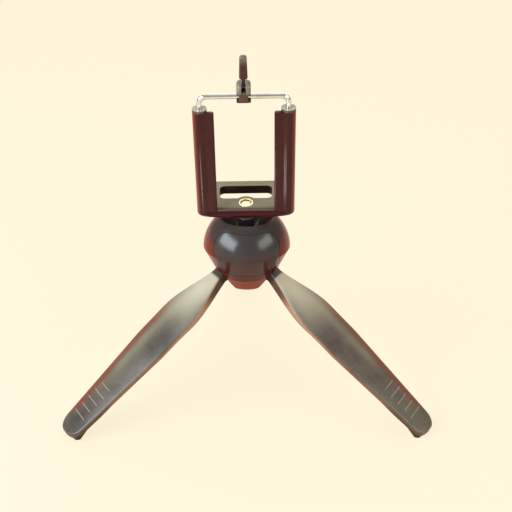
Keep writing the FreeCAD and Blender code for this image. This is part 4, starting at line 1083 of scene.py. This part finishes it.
# Brass, turned: bright, with patches of tarnish
BRASS = metal("turned_brass", "#fff5d8", "#cfae6c", cloud_mm=0.9, roughness=0.34, spread=0.06,
              grain_mm=0.2, bump_mm=0.008)

FINISHES = {
    "housing_upper_shell": SHELL_ABS, "housing_lower_shell": LOWER_ABS, "bottom_cap": CAP_ABS,
    "housing_screws": ZINC, "push_button": BUTTON_ABS, "ball_seat_ring": ACETAL, "brake_shoe": ACETAL,
    "brake_coil": SPRING, "ball_stud": BALL_NYLON, "stud_flange": FLANGE_NYLON, "flange_pad": RUBBER,
    "camera_screw_thread": BRASS, "base_plate": PLATE_ABS, "brass_insert_thread": BRASS,
    "plate_hinge_pins": CHROME, "holder_frame_moulding": FRAME_ABS, "tube_caps": TUBE_CAP_ABS,
    "wire_bracket": CHROME, "stop_washers": ZINC, "plunger_coils": SPRING, "clip_block_moulding": CLIP_ABS,
    "jaw_pin": CHROME, "jaw_moulding": JAW_ABS,
}
for side in ("left", "right", "rear"):
    FINISHES[side + "_leg_moulding"] = LEG_NYLON
    FINISHES[side + "_foot_pad"] = RUBBER
    FINISHES[side + "_leg_pin"] = CHROME
for name, material in FINISHES.items():
    mesh = bpy.data.objects[name].data
    mesh.materials.clear()
    mesh.materials.append(material)

# Floor and world: pale cream, shown plainly to the camera and in reflections, with the shadow kept
CREAM = "#fdf3d9"
ROOM_LIGHT = "#f3efe8"
ROOM_STRENGTH = 0.45
FLOOR_HALF = 6.0
SHOWN_SHARE = 0.9


def pale_floor():
    """A floor whose colour is mostly its own light for camera, glossy and transmission rays."""
    material, tree, output = new_material("pale_paper_floor")
    path = add(tree, "ShaderNodeLightPath")
    seen = add(tree, "ShaderNodeMath", operation="MAXIMUM",
               links={0: path.outputs["Is Camera Ray"], 1: path.outputs["Is Glossy Ray"]})
    seen = add(tree, "ShaderNodeMath", operation="MAXIMUM",
               links={0: seen.outputs[0], 1: path.outputs["Is Transmission Ray"]})
    share = add(tree, "ShaderNodeMath", {1: SHOWN_SHARE}, {0: seen.outputs[0]}, operation="MULTIPLY")
    plain = add(tree, "ShaderNodeBsdfDiffuse", {"Color": linear(CREAM)})
    own_light = add(tree, "ShaderNodeEmission", {"Color": linear(CREAM), "Strength": 1.0})
    mix = add(tree, "ShaderNodeMixShader", links={0: share.outputs[0], 1: plain.outputs[0],
                                                  2: own_light.outputs[0]})
    tree.links.new(mix.outputs[0], output.inputs["Surface"])
    return material


floor_mesh = bpy.data.meshes.new("floor")
floor_mesh.from_pydata([(-FLOOR_HALF, -FLOOR_HALF, 0), (FLOOR_HALF, -FLOOR_HALF, 0),
                        (FLOOR_HALF, FLOOR_HALF, 0), (-FLOOR_HALF, FLOOR_HALF, 0)], [], [(0, 1, 2, 3)])
floor_mesh.materials.append(pale_floor())
floor = bpy.data.objects.new("floor", floor_mesh)
bpy.context.scene.collection.objects.link(floor)

world = bpy.data.worlds.new("pale_room")
world.use_nodes = True
tree = world.node_tree
tree.nodes.clear()
path = add(tree, "ShaderNodeLightPath")
lit = add(tree, "ShaderNodeBackground", {"Color": linear(ROOM_LIGHT), "Strength": ROOM_STRENGTH})
shown = add(tree, "ShaderNodeBackground", {"Color": linear(CREAM), "Strength": 1.0})
mix = add(tree, "ShaderNodeMixShader", links={0: path.outputs["Is Camera Ray"], 1: lit.outputs[0],
                                              2: shown.outputs[0]})
add(tree, "ShaderNodeOutputWorld", links={"Surface": mix.outputs[0]})
bpy.context.scene.world = world

MIDDLE = (0, 0, 0)


def soft_light(name, place, size, power, hex_code, aim=MIDDLE, roll=0.0, spread=180.0):
    """A rectangular lamp at a place that looks at an aim, both in millimetres from the ball's centre.

    Its size is in metres, its power in watts, its roll and spread in degrees.
    """
    lamp = bpy.data.lights.new(name, "AREA")
    lamp.shape = "RECTANGLE"
    lamp.size, lamp.size_y = size
    lamp.energy = power
    lamp.spread = math.radians(spread)
    lamp.color = linear(hex_code)[:3]
    item = bpy.data.objects.new(name, lamp)
    bpy.context.scene.collection.objects.link(item)
    item.location = in_metres(BALL + np.array(place))
    look = Vector(np.subtract(aim, place)).to_track_quat("-Z", "Y").to_matrix().to_4x4()
    item.rotation_euler = (look @ Matrix.Rotation(math.radians(roll), 4, "Z")).to_euler()
    item.visible_camera = False


soft_light("window_left", (-836, -539, 473), size=(0.95, 0.5), power=21.0, hex_code="#dcebf4", roll=-8.0)
soft_light("window_right", (912, -588, 516), size=(0.9, 0.45), power=8.0, hex_code="#eef2ea", roll=8.0)
soft_light("window_behind", (40, 1142, 944), size=(2.4, 0.9), power=13.0, hex_code="#fffaf0")
soft_light("ceiling", (0, 0, 1400), size=(1.2, 1.2), power=2.5, hex_code="#fffaf2")
# A narrow lamp in front, low down and aimed at the holder, draws a light stripe up each round tube
soft_light("strip", (-64, -128, -46), size=(0.006, 0.08), power=0.005, hex_code="#f2f0ee",
           aim=(0, -17, 65), spread=40.0)

# Camera: its distance and height angle were measured on the photograph's leg spread and ball, and
# it looks a little below and beside the ball, so that the ball lands where the photograph has it
CAMERA_DISTANCE = 600.0
CAMERA_HEIGHT_ANGLE = 26.5
CAMERA_PITCH = 27.07
CAMERA_YAW = 0.59
LENS = 70.3
SENSOR = 36.0

camera_data = bpy.data.cameras.new("camera")
camera_data.lens = LENS
camera_data.sensor_width = SENSOR
camera = bpy.data.objects.new("camera", camera_data)
bpy.context.scene.collection.objects.link(camera)
height_angle = math.radians(CAMERA_HEIGHT_ANGLE)
from_ball = CAMERA_DISTANCE * np.array([0, -math.cos(height_angle), math.sin(height_angle)])
camera.location = in_metres(BALL + from_ball)
camera.rotation_euler = (math.radians(90.0 - CAMERA_PITCH), 0.0, -math.radians(CAMERA_YAW))
bpy.context.scene.camera = camera
bpy.context.scene.view_settings.view_transform = "Standard"


def plain(corners):
    return [[float(value) for value in corner] for corner in corners]
